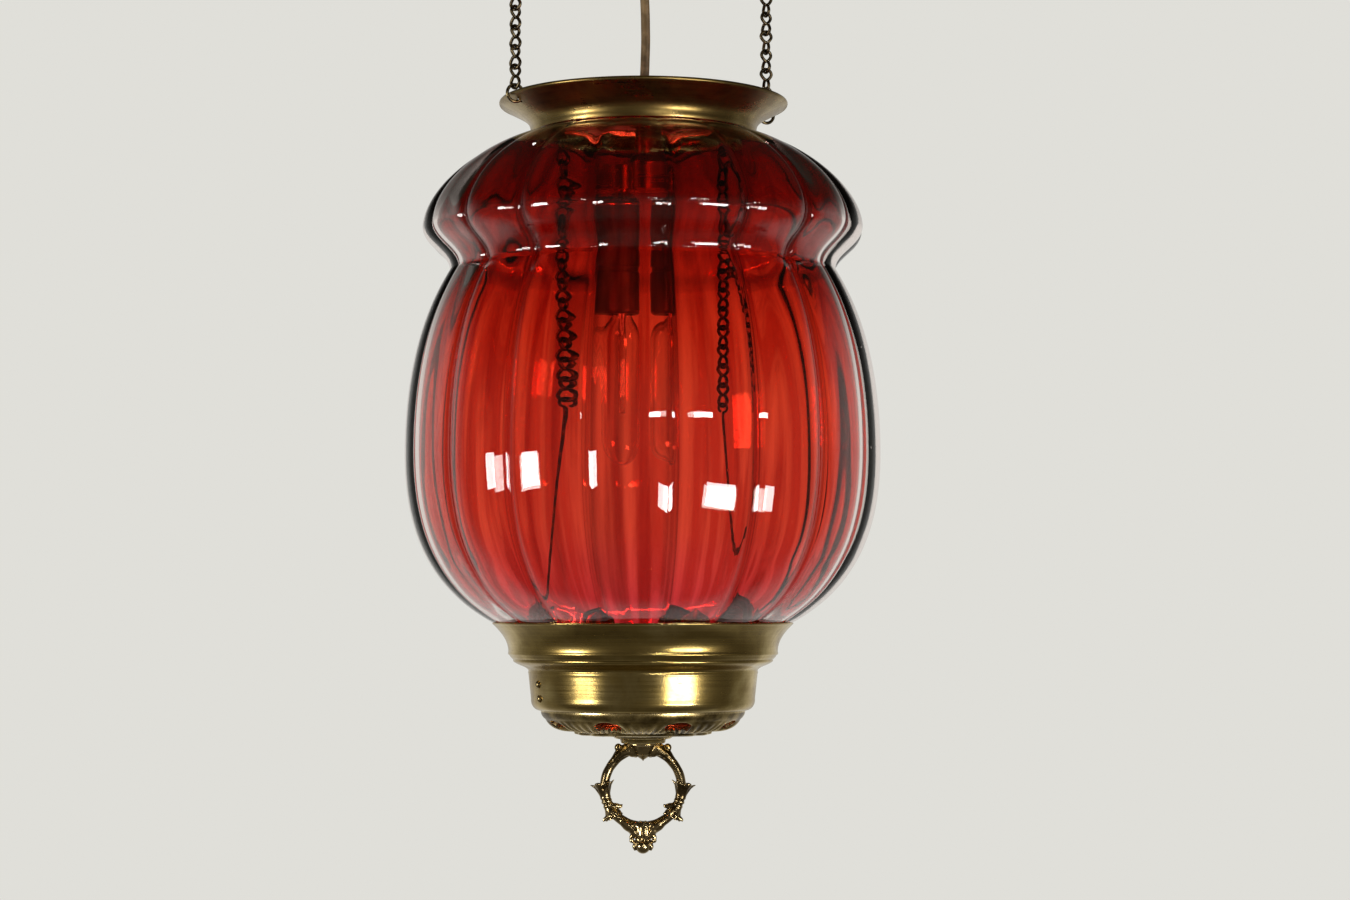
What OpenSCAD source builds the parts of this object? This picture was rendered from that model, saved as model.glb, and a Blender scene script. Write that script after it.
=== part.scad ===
// Hanging sanctuary lamp: a ribbed ruby glass shade held between a spun brass crown and a
// brass cup, hung on two wire chains from a ceiling canopy, with two candelabra lights inside
// and a cast pull ring below. Millimetres, +Z up, origin on the ceiling face of the canopy.
// X runs through the two chains. Lamp heights are drops below the crown's lip, so they are
// negative inside the lamp modules.

/* [Ceiling canopy] */
// Radius of the canopy where it meets the ceiling
canopy_radius = 100; // [94:1:115]
// Depth of the canopy below the ceiling
canopy_depth = 22; // [20:1:28]
// Distance between the two ceiling box screws
box_hole_spacing = 70; // [60:1:90]
// Radius of each ceiling box screw hole
box_hole_radius = 2.4; // [2:0.1:3]

/* [Chains and cord] */
// Links in each outer chain
outer_links = 6; // [4:1:12]
// Links in each inner chain
inner_links = 14; // [10:1:15]
// Radius of the chain wire
wire_radius = 0.95; // [0.8:0.05:1.1]
// Radius of a link's loop, to the middle of the wire
loop_radius = 3.4; // [3.1:0.1:3.8]
// Width of the flat cord
cord_width = 5.6; // [4.8:0.1:6.4]
// Thickness of the flat cord
cord_thickness = 2.9; // [2.4:0.1:3.4]

/* [Crown] */
// Radius of the crown's rolled lip
crown_radius = 84.3; // [82:0.1:88]
// Outer radius of the crown's collar
collar_radius = 66; // [65.5:0.1:67]
// Height of the crown
crown_height = 19.5; // [19:0.1:20]
// Thickness of the spun brass
sheet = 0.9; // [0.7:0.05:1]

/* [Glass shade] */
// Largest radius of the upper bulge
bulge_radius = 128.4; // [124:0.2:132]
// Radius of the waist
waist_radius = 112.5; // [108:0.5:118]
// Largest radius of the globe
globe_radius = 138; // [132:0.5:142]
// Wall thickness of the glass
glass_wall = 3; // [2:0.25:4]

/* [Cup and base] */
// Radius of the cup's flared rim
cup_radius = 87.1; // [86.6:0.1:90]
// Outer radius at the top of the drum
drum_radius = 66.3; // [66:0.1:67]
// Number of air holes in the base
base_holes = 8; // [6:1:12]
// Radius of each air hole
base_hole_radius = 3.8; // [3:0.1:4.2]
// Turn of the base's holes round the lamp
base_turn = -25; // [-45:1:45]

/* [Pull ring] */
// Radius of the pull ring, to the middle of its rod
ring_radius = 22.3; // [20:0.1:24]
// Radius of the pull ring's rod
ring_rod = 2.7; // [2.3:0.1:3]
// Turn of the ring's face from the chains
ring_turn = -25; // [-90:1:90]

/* [Lights] */
// Distance between the two sockets
socket_spacing = 24; // [22:1:30]
// Turn of the pair of sockets from the chains
socket_turn = -25; // [-60:1:60]
// Radius of a bulb's glass
bulb_radius = 9.5; // [8:0.25:10]
// Length of a bulb's glass below its socket
bulb_length = 87; // [70:1:100]

/* [Hidden] */
$fn = 64;

// Gap left between pieces that hang in each other
hook_gap = 0.05;
// Steps along each curved stretch of an outline
curve_steps = 10;

// Ceiling fittings
canopy_sheet = 1;
eye_wire = 1.2;
eye_loop = 4.2;
eye_centre_z = -canopy_depth - 2.5 - eye_wire - eye_loop + 0.7;
eye_hook_z = eye_centre_z - eye_loop;
stud_y = 62;
bar_thickness = 2.5;

// Top jump ring, hung on the ceiling eye
jump_radius = 4.3;
top_ring_z = eye_hook_z + eye_wire + wire_radius + hook_gap - jump_radius;
top_hook_z = top_ring_z - jump_radius;

// Wire link: two loops at right angles, each set this far from the link's middle
loop_offset = loop_radius - 0.15;
link_reach = loop_offset + loop_radius;
link_pitch = 2 * (link_reach - wire_radius) - hook_gap;
first_link_z = top_hook_z + 2 * wire_radius + hook_gap - link_reach;
last_link_z = first_link_z - (outer_links - 1) * link_pitch;

// Bottom jump ring: through a hole in the crown's flare and round its lip
crown_ring_radius = 4.9;
crown_ring_z = last_link_z - link_reach + 2 * wire_radius + hook_gap - crown_ring_radius;
lip_z = crown_ring_z + 0.8;
chain_radius = crown_radius - 3.3;
crown_hole_radius = crown_radius - 5.8;
crown_hole_drop = -5;

// Crown
lip_bead = 1.2;
strap_top = -8;
strap_bottom = -10.4;

// Inner chains
inner_radius = 52;
inner_eye_wire = 0.9;
inner_eye_loop = 3;
inner_eye_drop = strap_bottom - 0.5 - inner_eye_loop - inner_eye_wire;
inner_hook_drop = inner_eye_drop - inner_eye_loop;
inner_first_drop = inner_hook_drop + inner_eye_wire + wire_radius + hook_gap - link_reach;
inner_last_drop = inner_first_drop - (inner_links - 1) * link_pitch;

// Hanger wires between the inner chains and the cup's brackets
hanger_wire = 0.7;
hanger_top_loop = 2.6;
hanger_low_loop = 4;
hanger_top_drop = inner_last_drop - link_reach + wire_radius + hanger_wire + hook_gap - hanger_top_loop;
hanger_low_drop = -293.8;
bracket_x = 62.1;
bracket_plate = 1.2;
bracket_hole_drop = -297;
rivet_drops = [-338.4, -346.5];
rivet_lift = 0.35;
rivet_hole = 1.45;

// Lights
socket_top_drop = -50;
socket_bottom_drop = -125;
cap_bottom_drop = -64;
hub_bottom_drop = -48;
hub_radius = 9;
hub_bore_drop = -40.05;
socket_radius = 9.4;
shell_radius = 6.5;

// Pull ring and its stem
boss_bottom_drop = -373;
ring_centre_drop = -398.5;
stem_radius = 3;
base_hole_slope = 22;

// Route of the cord from the canopy's bushing to the crown's bushing, bowed a little to one
// side. Both ends sit inside their bushings.
cord_route = [
    [0, 0, -34], [0.1, 0, -37], [0.4, 0, -42], [0.7, 0, -48], [1.0, 0, -54], [1.2, 0, -60],
    [1.3, 0, -66], [1.4, 0, -72], [1.3, 0, -78], [1.1, 0, -84], [0.9, 0, -90], [0.6, 0, -96],
    [0.3, 0, -102], [0.1, 0, -108], [0, 0, -112]];

// Point on a cubic curve with four control points
function curve_point(a, b, c, d, t) =
    a * pow(1 - t, 3) + b * 3 * t * pow(1 - t, 2) + c * 3 * t * t * (1 - t) + d * pow(t, 3);

// Points along a cubic curve, leaving out its first point
function curve(a, b, c, d, steps = curve_steps) =
    [for (i = [1:steps]) curve_point(a, b, c, d, i / steps)];

// Outer radius of the drum at a height
function drum_surface(drop) = drum_radius - 1.6 * (-331.5 - drop) / 16;

// Unit normal at point i of an outline, to the right of its direction
function outline_normal(points, i) =
    let (last = len(points) - 1)
    let (step = points[min(i + 1, last)] - points[max(i - 1, 0)])
    [step[1], -step[0]] / norm(step);

// Outline moved sideways by a distance, to the right of its direction
function inset(points, distance) =
    [for (i = [0:len(points) - 1]) points[i] + distance * outline_normal(points, i)];

// List in the opposite order
function reversed(points) = [for (i = [len(points) - 1:-1:0]) points[i]];

// Outer outlines, listed downwards as [radius, drop]
crown_outline = concat(
    [[crown_radius - 1.2, -2.3]],
    curve([crown_radius - 1.2, -2.3], [crown_radius - 10.3, -7.5],
          [collar_radius, -10], [collar_radius, -17]),
    [[collar_radius, -crown_height]]);

glass_outline = concat(
    [[62, -12], [62, -17], [64, -19.5]],
    curve([64, -19.5], [98, -28], [bulge_radius - 1, -54], [bulge_radius, -74.8]),
    curve([bulge_radius, -74.8], [bulge_radius, -86], [waist_radius, -90], [waist_radius, -99.5]),
    curve([waist_radius, -99.5], [waist_radius + 4.5, -108], [globe_radius, -138],
          [globe_radius, -205]),
    curve([globe_radius, -205], [globe_radius, -245], [128, -284], [82, -306]),
    [[71, -311]]);

cup_outline = concat(
    [[cup_radius, -304.2]],
    curve([cup_radius, -304.2], [81.5, -309.5], [78, -314], [77.8, -320]),
    curve([77.8, -320], [77.5, -326], [70, -328.5], [drum_radius, -331.5]),
    [[drum_radius - 1.6, -347.5]],
    curve([drum_radius - 1.6, -347.5], [drum_radius - 1.8, -351], [62.5, -353.6], [59.8, -354], 6),
    [[58.7, -354]]);

base_outline = concat(
    [[58.5, -352]],
    [[58.5, -355]],
    curve([58.5, -355], [58.3, -361], [48, -363], [39, -366]),
    [[38, -367.8], [14, -368.2]]);

// Spun shell from its outer outline
module shell(points, thickness) {
    rotate_extrude()
        polygon(concat(points, reversed(inset(points, thickness))));
}

// Round wire bent into a closed ring about the Z axis
module ring(radius, wire) {
    rotate_extrude()
        translate([radius, 0])
            circle(r = wire, $fn = 32);
}

// Ring whose face looks along X
module ring_facing_x(radius, wire) {
    rotate([0, 90, 0]) ring(radius, wire);
}

// Ring whose face looks along Y
module ring_facing_y(radius, wire) {
    rotate([90, 0, 0]) ring(radius, wire);
}

// Pipe along Z from its lower end
module pipe(outer, inner, height) {
    difference() {
        cylinder(r = outer, h = height);
        translate([0, 0, -1]) cylinder(r = inner, h = height + 2);
    }
}

// Straight round wire between two points of the XZ plane
module wire_between(a, b, radius) {
    run = b - a;
    translate([a[0], 0, a[1]])
        rotate([0, atan2(run[0], run[1]), 0])
            cylinder(r = radius, h = norm(run));
}

// Hexagonal nut with a round hole
module hex_nut(flat_to_flat, hole, height) {
    difference() {
        cylinder(r = flat_to_flat / sqrt(3), h = height, $fn = 6);
        translate([0, 0, -1]) cylinder(r = hole, h = height + 2);
    }
}

// Copies of the children on both chain sides, turned half round
module both_sides() {
    for (turn = [0, 180])
        rotate([0, 0, turn]) children();
}

// Children moved down to the lamp, whose heights are drops from the crown's lip
module in_lamp() {
    translate([0, 0, lip_z]) children();
}

// Children moved to one socket: side is -1 for left and 1 for right
module at_socket(side) {
    in_lamp()
        rotate([0, 0, socket_turn])
            translate([side * socket_spacing / 2, 0, 0]) children();
}

// ---- Ceiling fittings ----

module ceiling_canopy() {
    edge = canopy_radius;
    color("#8a6f3a")
        difference() {
            shell([[11, -canopy_depth], [edge - 12, -canopy_depth], [edge - 7, -canopy_depth + 2],
                   [edge - 4, -canopy_depth + 7], [edge - 2.5, -4], [edge, -2.2], [edge, 0]],
                  -canopy_sheet);
            both_sides() translate([chain_radius, 0, -canopy_depth - 3]) cylinder(r = 2.1, h = 6);
            for (side = [-1, 1])
                translate([0, side * stud_y, -canopy_depth - 3]) cylinder(r = 2.3, h = 6);
        }
    color("#8a6f3a")
        translate([0, 0, -canopy_depth]) pipe(11.2, 5.1, canopy_sheet);
}

module mounting_bar() {
    color("#b9bab8")
        difference() {
            translate([-8, -75, -bar_thickness]) cube([16, 150, bar_thickness]);
            for (side = [-1, 1]) {
                translate([0, side * box_hole_spacing / 2, -5]) cylinder(r = box_hole_radius, h = 8);
                translate([0, side * stud_y, -5]) cylinder(r = 2.05, h = 8);
            }
            translate([0, 0, -5]) cylinder(r = 5.2, h = 8);
        }
}

module canopy_studs() {
    color("#b9bab8")
        for (side = [-1, 1])
            translate([0, side * stud_y, -canopy_depth - 7]) cylinder(r = 2, h = canopy_depth + 6.5);
}

module canopy_knobs() {
    color("#8a6f3a")
        for (side = [-1, 1])
            translate([0, side * stud_y, -canopy_depth])
                rotate_extrude()
                    polygon([[2.05, -0.1], [5.5, -0.1], [5.5, -1.6], [3.6, -2.6], [5.2, -4.6],
                             [5.2, -6.8], [3.2, -8.6], [2.05, -8.8]]);
}

module ceiling_eyes() {
    color("#4a4231")
        both_sides()
            translate([chain_radius, 0, 0]) {
                translate([0, 0, eye_centre_z]) ring_facing_y(eye_loop, eye_wire);
                translate([0, 0, -canopy_depth - 2.6]) cylinder(r = 3.4, h = 2.5);
                translate([0, 0, -canopy_depth - 1]) cylinder(r = 2, h = 8);
            }
}

module eye_nuts() {
    color("#b9bab8")
        both_sides()
            translate([chain_radius, 0, -canopy_depth + canopy_sheet + 0.1]) hex_nut(7, 2.05, 3.2);
}

module canopy_bushing() {
    color("#2a211a")
        difference() {
            union() {
                translate([0, 0, -canopy_depth - 14]) cylinder(r = 8.5, h = 13.9);
                translate([0, 0, -canopy_depth - 1]) cylinder(r = 5, h = 6);
            }
            translate([0, 0, -canopy_depth - 15]) cylinder(r = 7, h = 5);
            translate([0, 0, -canopy_depth - 12]) cylinder(r = 3, h = 20);
        }
}

module canopy_lead() {
    color("#8c6b3c") {
        translate([0, 0, -canopy_depth - 9.5]) cylinder(r = 2.7, h = 20);
        translate([0, -30, -canopy_depth + 10.5]) rotate([-90, 0, 0]) cylinder(r = 1.3, h = 60);
    }
}

module wire_connectors() {
    color("#c8792c")
        for (side = [-1, 1])
            translate([0, side * 30.2, -canopy_depth + 10.5])
                rotate([-90 * side, 0, 0])
                    cylinder(r1 = 5.5, r2 = 3.5, h = 16);
}

// ---- Chains and cord ----

// One wire link, its upper loop facing Y and its lower loop facing X
module link() {
    translate([0, 0, loop_offset]) ring_facing_y(loop_radius, wire_radius);
    translate([0, 0, -loop_offset]) ring_facing_x(loop_radius, wire_radius);
}

// Hanging row of links from the height of the first
module links(count, first_z) {
    for (i = [0:count - 1])
        translate([0, 0, first_z - i * link_pitch]) link();
}

module top_jump_rings() {
    color("#4a4231")
        both_sides()
            translate([chain_radius, 0, top_ring_z]) ring_facing_x(jump_radius, wire_radius);
}

module outer_chain(side) {
    color("#4a4231")
        translate([side * chain_radius, 0, 0]) links(outer_links, first_link_z);
}

module outer_chain_left() { outer_chain(-1); }

module outer_chain_right() { outer_chain(1); }

module bottom_jump_rings() {
    color("#5c5230")
        both_sides()
            translate([chain_radius, 0, crown_ring_z])
                ring_facing_y(crown_ring_radius, wire_radius);
}

// Twelve points round a flat cord with two rounded edges, at one point of its route
function cord_section(centre) =
    let (round_r = cord_thickness / 2)
    let (middle = cord_width / 2 - round_r)
    concat(
        [for (a = [-75:30:75]) centre + [middle + round_r * cos(a), round_r * sin(a), 0]],
        [for (a = [105:30:255]) centre + [-middle + round_r * cos(a), round_r * sin(a), 0]]);

// Solid swept through a list of sections that all have the same number of points
module swept(sections) {
    sides = len(sections[0]);
    last = len(sections) - 1;
    points = [for (section = sections, p = section) p];
    walls = [for (i = [0:last - 1], j = [0:sides - 1])
        [i * sides + j, i * sides + (j + 1) % sides,
         (i + 1) * sides + (j + 1) % sides, (i + 1) * sides + j]];
    ends = [[for (j = [sides - 1:-1:0]) j], [for (j = [0:sides - 1]) last * sides + j]];
    polyhedron(points = points, faces = concat(walls, ends));
}

module lamp_cord() {
    color("#8c6b3c")
        swept([for (p = cord_route) cord_section(p)]);
}

// ---- Crown and what hangs in it ----

module crown() {
    color("#6f5f35")
        in_lamp()
            difference() {
                union() {
                    shell(crown_outline, sheet);
                    translate([0, 0, -lip_bead]) ring(crown_radius - lip_bead, lip_bead);
                }
                both_sides()
                    translate([crown_hole_radius, 0, crown_hole_drop])
                        rotate([0, -30, 0])
                            translate([0, 0, -4]) cylinder(r = 2, h = 8);
            }
}

module crown_strap() {
    color("#8a6f3a")
        in_lamp()
            difference() {
                intersection() {
                    translate([-80, -7, strap_bottom]) cube([160, 14, strap_top - strap_bottom]);
                    rotate_extrude()
                        polygon(concat([[0, 0]], inset(crown_outline, sheet + 0.05), [[0, -30]]));
                }
                translate([0, 0, -20]) cylinder(r = 5.05, h = 20);
                both_sides() translate([inner_radius, 0, -20]) cylinder(r = 1.6, h = 20);
            }
}

module crown_bushing() {
    color("#2a211a")
        in_lamp()
            difference() {
                union() {
                    translate([0, 0, -4]) cylinder(r1 = 7.5, r2 = 6.5, h = 6);
                    translate([0, 0, -4.5]) cylinder(r = 7.5, h = 0.5);
                }
                translate([0, 0, -3.4]) cylinder(r = 5, h = 6);
                translate([0, 0, -6]) cylinder(r = 3, h = 6);
            }
}

module stem_tube() {
    color("#8a6f3a")
        in_lamp()
            translate([0, 0, hub_bore_drop + 0.05]) pipe(5, 3.2, 35.4);
}

module stem_locknuts() {
    color("#8a6f3a")
        in_lamp() {
            translate([0, 0, strap_top + 0.05]) hex_nut(15, 5.05, 3);
            translate([0, 0, strap_bottom - 3.05]) hex_nut(15, 5.05, 3);
        }
}

module inner_lead() {
    color("#8c6b3c")
        in_lamp()
            translate([0, 0, -39.5]) cylinder(r = 2.7, h = 36);
}

module cluster_hub() {
    color("#6f5f35")
        in_lamp() {
            difference() {
                union() {
                    rotate_extrude()
                        polygon([[0, hub_bottom_drop], [hub_radius, hub_bottom_drop],
                                 [hub_radius, hub_bottom_drop + 12],
                                 [hub_radius - 2.5, hub_bottom_drop + 15.5],
                                 [0, hub_bottom_drop + 15.5]]);
                    rotate([0, 0, socket_turn])
                        for (side = [-1, 1])
                            translate([side * socket_spacing / 2, 0, hub_bottom_drop - 0.5])
                                cylinder(r = 8.4, h = 11);
                }
                translate([0, 0, hub_bore_drop]) cylinder(r = 5.05, h = 12);
            }
            rotate([0, 0, socket_turn])
                for (side = [-1, 1])
                    translate([side * socket_spacing / 2, 0, hub_bottom_drop - 6])
                        cylinder(r = 3.5, h = 6.5);
        }
}

module socket_cap(side) {
    color("#a08040")
        at_socket(side)
            rotate_extrude()
                polygon([[3.55, socket_top_drop], [6, socket_top_drop - 0.4],
                         [8.2, socket_top_drop - 2.2], [9.5, socket_top_drop - 6],
                         [9.5, cap_bottom_drop], [8.8, cap_bottom_drop],
                         [8.8, socket_top_drop - 6],
                         [7.6, socket_top_drop - 3], [3.55, socket_top_drop - 1.4]]);
}

module socket_cap_left() { socket_cap(-1); }

module socket_cap_right() { socket_cap(1); }

module socket_body(side) {
    color("#2a211a")
        at_socket(side)
            difference() {
                union() {
                    translate([0, 0, socket_bottom_drop]) cylinder(r = socket_radius, h = 60.9);
                    translate([0, 0, cap_bottom_drop - 0.2]) cylinder(r = 8.7, h = 6);
                }
                translate([0, 0, socket_bottom_drop - 1]) cylinder(r = shell_radius + 0.05, h = 27);
                translate([0, 0, socket_bottom_drop - 1]) cylinder(r = 1.5, h = 90);
            }
}

module socket_body_left() { socket_body(-1); }

module socket_body_right() { socket_body(1); }

module screw_shell(side) {
    color("#a08040")
        at_socket(side)
            translate([0, 0, socket_bottom_drop + 1]) pipe(shell_radius, 6.2, 24.9);
}

module screw_shell_left() { screw_shell(-1); }

module screw_shell_right() { screw_shell(1); }

module centre_contact(side) {
    color("#c9a24a")
        at_socket(side) {
            translate([0, 0, socket_bottom_drop + 23.7]) cylinder(r = 2.4, h = 2.2);
            translate([0, 0, socket_bottom_drop + 25.8]) cylinder(r = 1.45, h = 12);
        }
}

module centre_contact_left() { centre_contact(-1); }

module centre_contact_right() { centre_contact(1); }

module inner_eyes() {
    color("#4a4231")
        in_lamp()
            both_sides()
                translate([inner_radius, 0, 0]) {
                    translate([0, 0, inner_eye_drop]) ring_facing_x(inner_eye_loop, inner_eye_wire);
                    translate([0, 0, strap_bottom - 1]) cylinder(r = 1.5, h = 7);
                }
}

module inner_eye_nuts() {
    color("#8a6f3a")
        in_lamp()
            both_sides()
                translate([inner_radius, 0, strap_top + 0.05]) hex_nut(5.5, 1.55, 2.4);
}

module inner_chain(side) {
    color("#3a3020")
        in_lamp()
            translate([side * inner_radius, 0, 0]) links(inner_links, inner_first_drop);
}

module inner_chain_left() { inner_chain(-1); }

module inner_chain_right() { inner_chain(1); }

module hanger_wire(side) {
    low_x = bracket_x - 1.8;
    color("#3a3020")
        in_lamp()
            rotate([0, 0, side < 0 ? 180 : 0]) {
                translate([inner_radius, 0, hanger_top_drop])
                    ring_facing_y(hanger_top_loop, hanger_wire);
                wire_between([inner_radius, hanger_top_drop - hanger_top_loop],
                             [low_x, hanger_low_drop + hanger_low_loop], hanger_wire);
                translate([low_x, 0, hanger_low_drop]) ring_facing_y(hanger_low_loop, hanger_wire);
            }
}

module hanger_wire_left() { hanger_wire(-1); }

module hanger_wire_right() { hanger_wire(1); }

// ---- Glass, cup and base ----

module glass_shade() {
    color("#b3202a", 0.6)
        in_lamp() shell(glass_outline, glass_wall);
}

// Outline of one upright gallery leaf, as [sideways, drop]
function leaf_outline(tip) =
    [[-16, -312], [-14, -303], [-6, -299], [0, tip], [6, -299], [14, -303], [16, -312]];

module glass_gallery() {
    leaves = 8;
    band_outer = 68.5;
    band_inner = 67.7;
    band_bottom = -321;
    color("#4a4231")
        in_lamp() {
            translate([0, 0, band_bottom]) pipe(band_outer, band_inner, 11);
            translate([0, 0, band_bottom]) pipe(76.4, band_inner + 0.3, 0.8);
            intersection() {
                translate([0, 0, band_bottom + 8]) pipe(band_outer, band_inner, 28);
                for (i = [0:leaves - 1])
                    rotate([0, 0, i * 360 / leaves])
                        translate([60, 0, 0])
                            rotate([90, 0, 90])
                                linear_extrude(height = 12)
                                    polygon(leaf_outline(i % 4 == 0 ? -287 : -294));
            }
        }
}

module hanger_brackets() {
    color("#4a4231")
        in_lamp()
            both_sides()
                difference() {
                    translate([bracket_x, -4.5, -348]) cube([bracket_plate, 9, 53.4]);
                    translate([bracket_x - 1, 0, bracket_hole_drop])
                        rotate([0, 90, 0]) cylinder(r = 1.7, h = 4);
                    for (drop = rivet_drops)
                        translate([bracket_x - 1, 0, drop])
                            rotate([0, 90, 0]) cylinder(r = rivet_hole, h = 4);
                }
}

module bracket_rivets() {
    color("#6f5f35")
        in_lamp()
            both_sides()
                for (drop = rivet_drops) {
                    shank = drum_surface(drop) + rivet_lift - bracket_x;
                    translate([bracket_x, 0, drop])
                        rotate([0, 90, 0]) {
                            translate([0, 0, -1.1]) cylinder(r1 = 1.8, r2 = 2.4, h = 1.05);
                            translate([0, 0, -0.5]) cylinder(r = 1.4, h = shank + 0.5);
                            translate([0, 0, shank]) cylinder(r1 = 2.5, r2 = 1.6, h = 1.2);
                        }
                }
}

module cup() {
    color("#6f5f35")
        in_lamp()
            difference() {
                union() {
                    shell(cup_outline, sheet);
                    translate([0, 0, -321.6]) ring(77.2, 0.7);
                    translate([0, 0, -325.6]) ring(74.9, 0.7);
                }
                both_sides()
                    for (drop = rivet_drops)
                        translate([55, 0, drop]) rotate([0, 90, 0]) cylinder(r = rivet_hole, h = 16);
            }
}

module pierced_base() {
    color("#5e5230")
        in_lamp()
            difference() {
                union() {
                    shell(base_outline, 1.6);
                    translate([0, 0, -353.05]) pipe(59.8, 57, 1.5);
                    translate([0, 0, boss_bottom_drop]) cylinder(r = 13, h = 3);
                    translate([0, 0, -370.1]) cylinder(r = 16.5, h = 3.6);
                }
                for (i = [0:base_holes - 1])
                    rotate([0, 0, base_turn + (i + 0.5) * 360 / base_holes])
                        translate([49.5, 0, -362.5])
                            rotate([0, -base_hole_slope, 0])
                                translate([0, 0, -6]) cylinder(r = base_hole_radius, h = 12);
                translate([0, 0, -380]) cylinder(r = stem_radius + 0.05, h = 30);
            }
}

module base_washer() {
    color("#b9bab8")
        in_lamp()
            translate([0, 0, -366.4]) pipe(7, 3.2, 0.8);
}

// ---- Pull ring ----

// Children placed on the ring's rod: the angle runs from its right side towards its top
module on_ring(angle) {
    rotate([0, -angle, 0])
        translate([ring_radius, 0, 0]) children();
}

module pull_ring() {
    color("#7b6a3c")
        in_lamp()
            rotate([0, 0, ring_turn])
                translate([0, 0, ring_centre_drop]) {
                    ring_facing_y(ring_radius, ring_rod);
                    translate([0, 0, ring_radius - 5]) cylinder(r1 = 4, r2 = 9, h = 8.1);
                    for (side = [-1, 1]) {
                        translate([side * 14.1, 0, 24]) sphere(r = 1.8);
                        translate([side * 13.2, 0, 21.4]) rotate([0, side * 30, 0])
                            translate([0, 0, -4]) cylinder(r = 2.4, h = 6);
                    }
                    for (mirror_x = [0, 1])
                        mirror([mirror_x, 0, 0]) {
                            on_ring(-7) cylinder(r1 = 3.1, r2 = 6, h = 6.5);
                            on_ring(-18) sphere(r = 3.9);
                            on_ring(-29) translate([0, 0, -7]) cylinder(r1 = 5, r2 = 3.1, h = 7);
                        }
                    translate([0, 0, -ring_radius - 11.5]) cylinder(r1 = 4.2, r2 = 8, h = 12.5);
                    translate([0, 0, -ring_radius - 11.2]) sphere(r = 4.6);
                }
}

module pull_stem() {
    color("#7b6a3c")
        in_lamp()
            translate([0, 0, ring_centre_drop + ring_radius + 3.1])
                cylinder(r = stem_radius, h = 18);
}

module pull_nut() {
    color("#b9bab8")
        in_lamp()
            translate([0, 0, -365.4]) hex_nut(10, stem_radius, 4.5);
}

// ---- Bulbs ----

module bulb_glass(side) {
    top = socket_bottom_drop + 4.5;
    bottom = socket_bottom_drop - bulb_length;
    color("#e8e4dc", 0.35)
        at_socket(side)
            shell(concat([[5.2, top], [5.2, top - 4]],
                         curve([5.2, top - 4], [5.6, top - 9], [bulb_radius, top - 10],
                               [bulb_radius, top - 20], 6),
                         curve([bulb_radius, bottom + 14], [bulb_radius, bottom + 5],
                               [5, bottom], [0.8, bottom], 8)),
                  0.7);
}

module bulb_glass_left() { bulb_glass(-1); }

module bulb_glass_right() { bulb_glass(1); }

module bulb_base(side) {
    threads = 4;
    color("#c9a24a")
        at_socket(side) {
            translate([0, 0, socket_bottom_drop + 4.55]) cylinder(r = 5.5, h = 16.4);
            for (i = [0:threads - 1])
                translate([0, 0, socket_bottom_drop + 7.5 + i * 3.2]) ring(5.45, 0.5);
        }
}

module bulb_base_left() { bulb_base(-1); }

module bulb_base_right() { bulb_base(1); }

module bulb_tip(side) {
    color("#2a211a")
        at_socket(side)
            translate([0, 0, socket_bottom_drop + 21]) cylinder(r1 = 4.5, r2 = 1.8, h = 2.6);
}

module bulb_tip_left() { bulb_tip(-1); }

module bulb_tip_right() { bulb_tip(1); }

module filament(side) {
    color("#9a948a")
        at_socket(side) {
            translate([0, 0, -137]) cylinder(r1 = 1.6, r2 = 2.6, h = 15.9);
            for (lead = [-1, 1])
                translate([lead * 1.1, 0, -182]) cylinder(r = 0.25, h = 46);
            translate([-1.6, 0, -182]) rotate([0, 90, 0]) cylinder(r = 0.45, h = 3.2);
        }
}

module filament_left() { filament(-1); }

module filament_right() { filament(1); }

ceiling_canopy();
mounting_bar();
canopy_studs();
canopy_knobs();
ceiling_eyes();
eye_nuts();
canopy_bushing();
canopy_lead();
wire_connectors();
top_jump_rings();
outer_chain_left();
outer_chain_right();
lamp_cord();
bottom_jump_rings();
crown();
crown_strap();
crown_bushing();
stem_tube();
stem_locknuts();
inner_lead();
cluster_hub();
socket_cap_left();
socket_cap_right();
socket_body_left();
socket_body_right();
screw_shell_left();
screw_shell_right();
centre_contact_left();
centre_contact_right();
inner_eyes();
inner_eye_nuts();
inner_chain_left();
inner_chain_right();
hanger_wire_left();
hanger_wire_right();
glass_shade();
glass_gallery();
hanger_brackets();
bracket_rivets();
cup();
pierced_base();
base_washer();
pull_ring();
pull_stem();
pull_nut();
bulb_glass_left();
bulb_base_left();
bulb_tip_left();
filament_left();
bulb_glass_right();
bulb_base_right();
bulb_tip_right();
filament_right();
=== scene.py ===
"""Looks of the hanging sanctuary lamp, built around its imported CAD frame."""

import math
import random

import bmesh
import bpy
from mathutils import Matrix, Vector, noise


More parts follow.
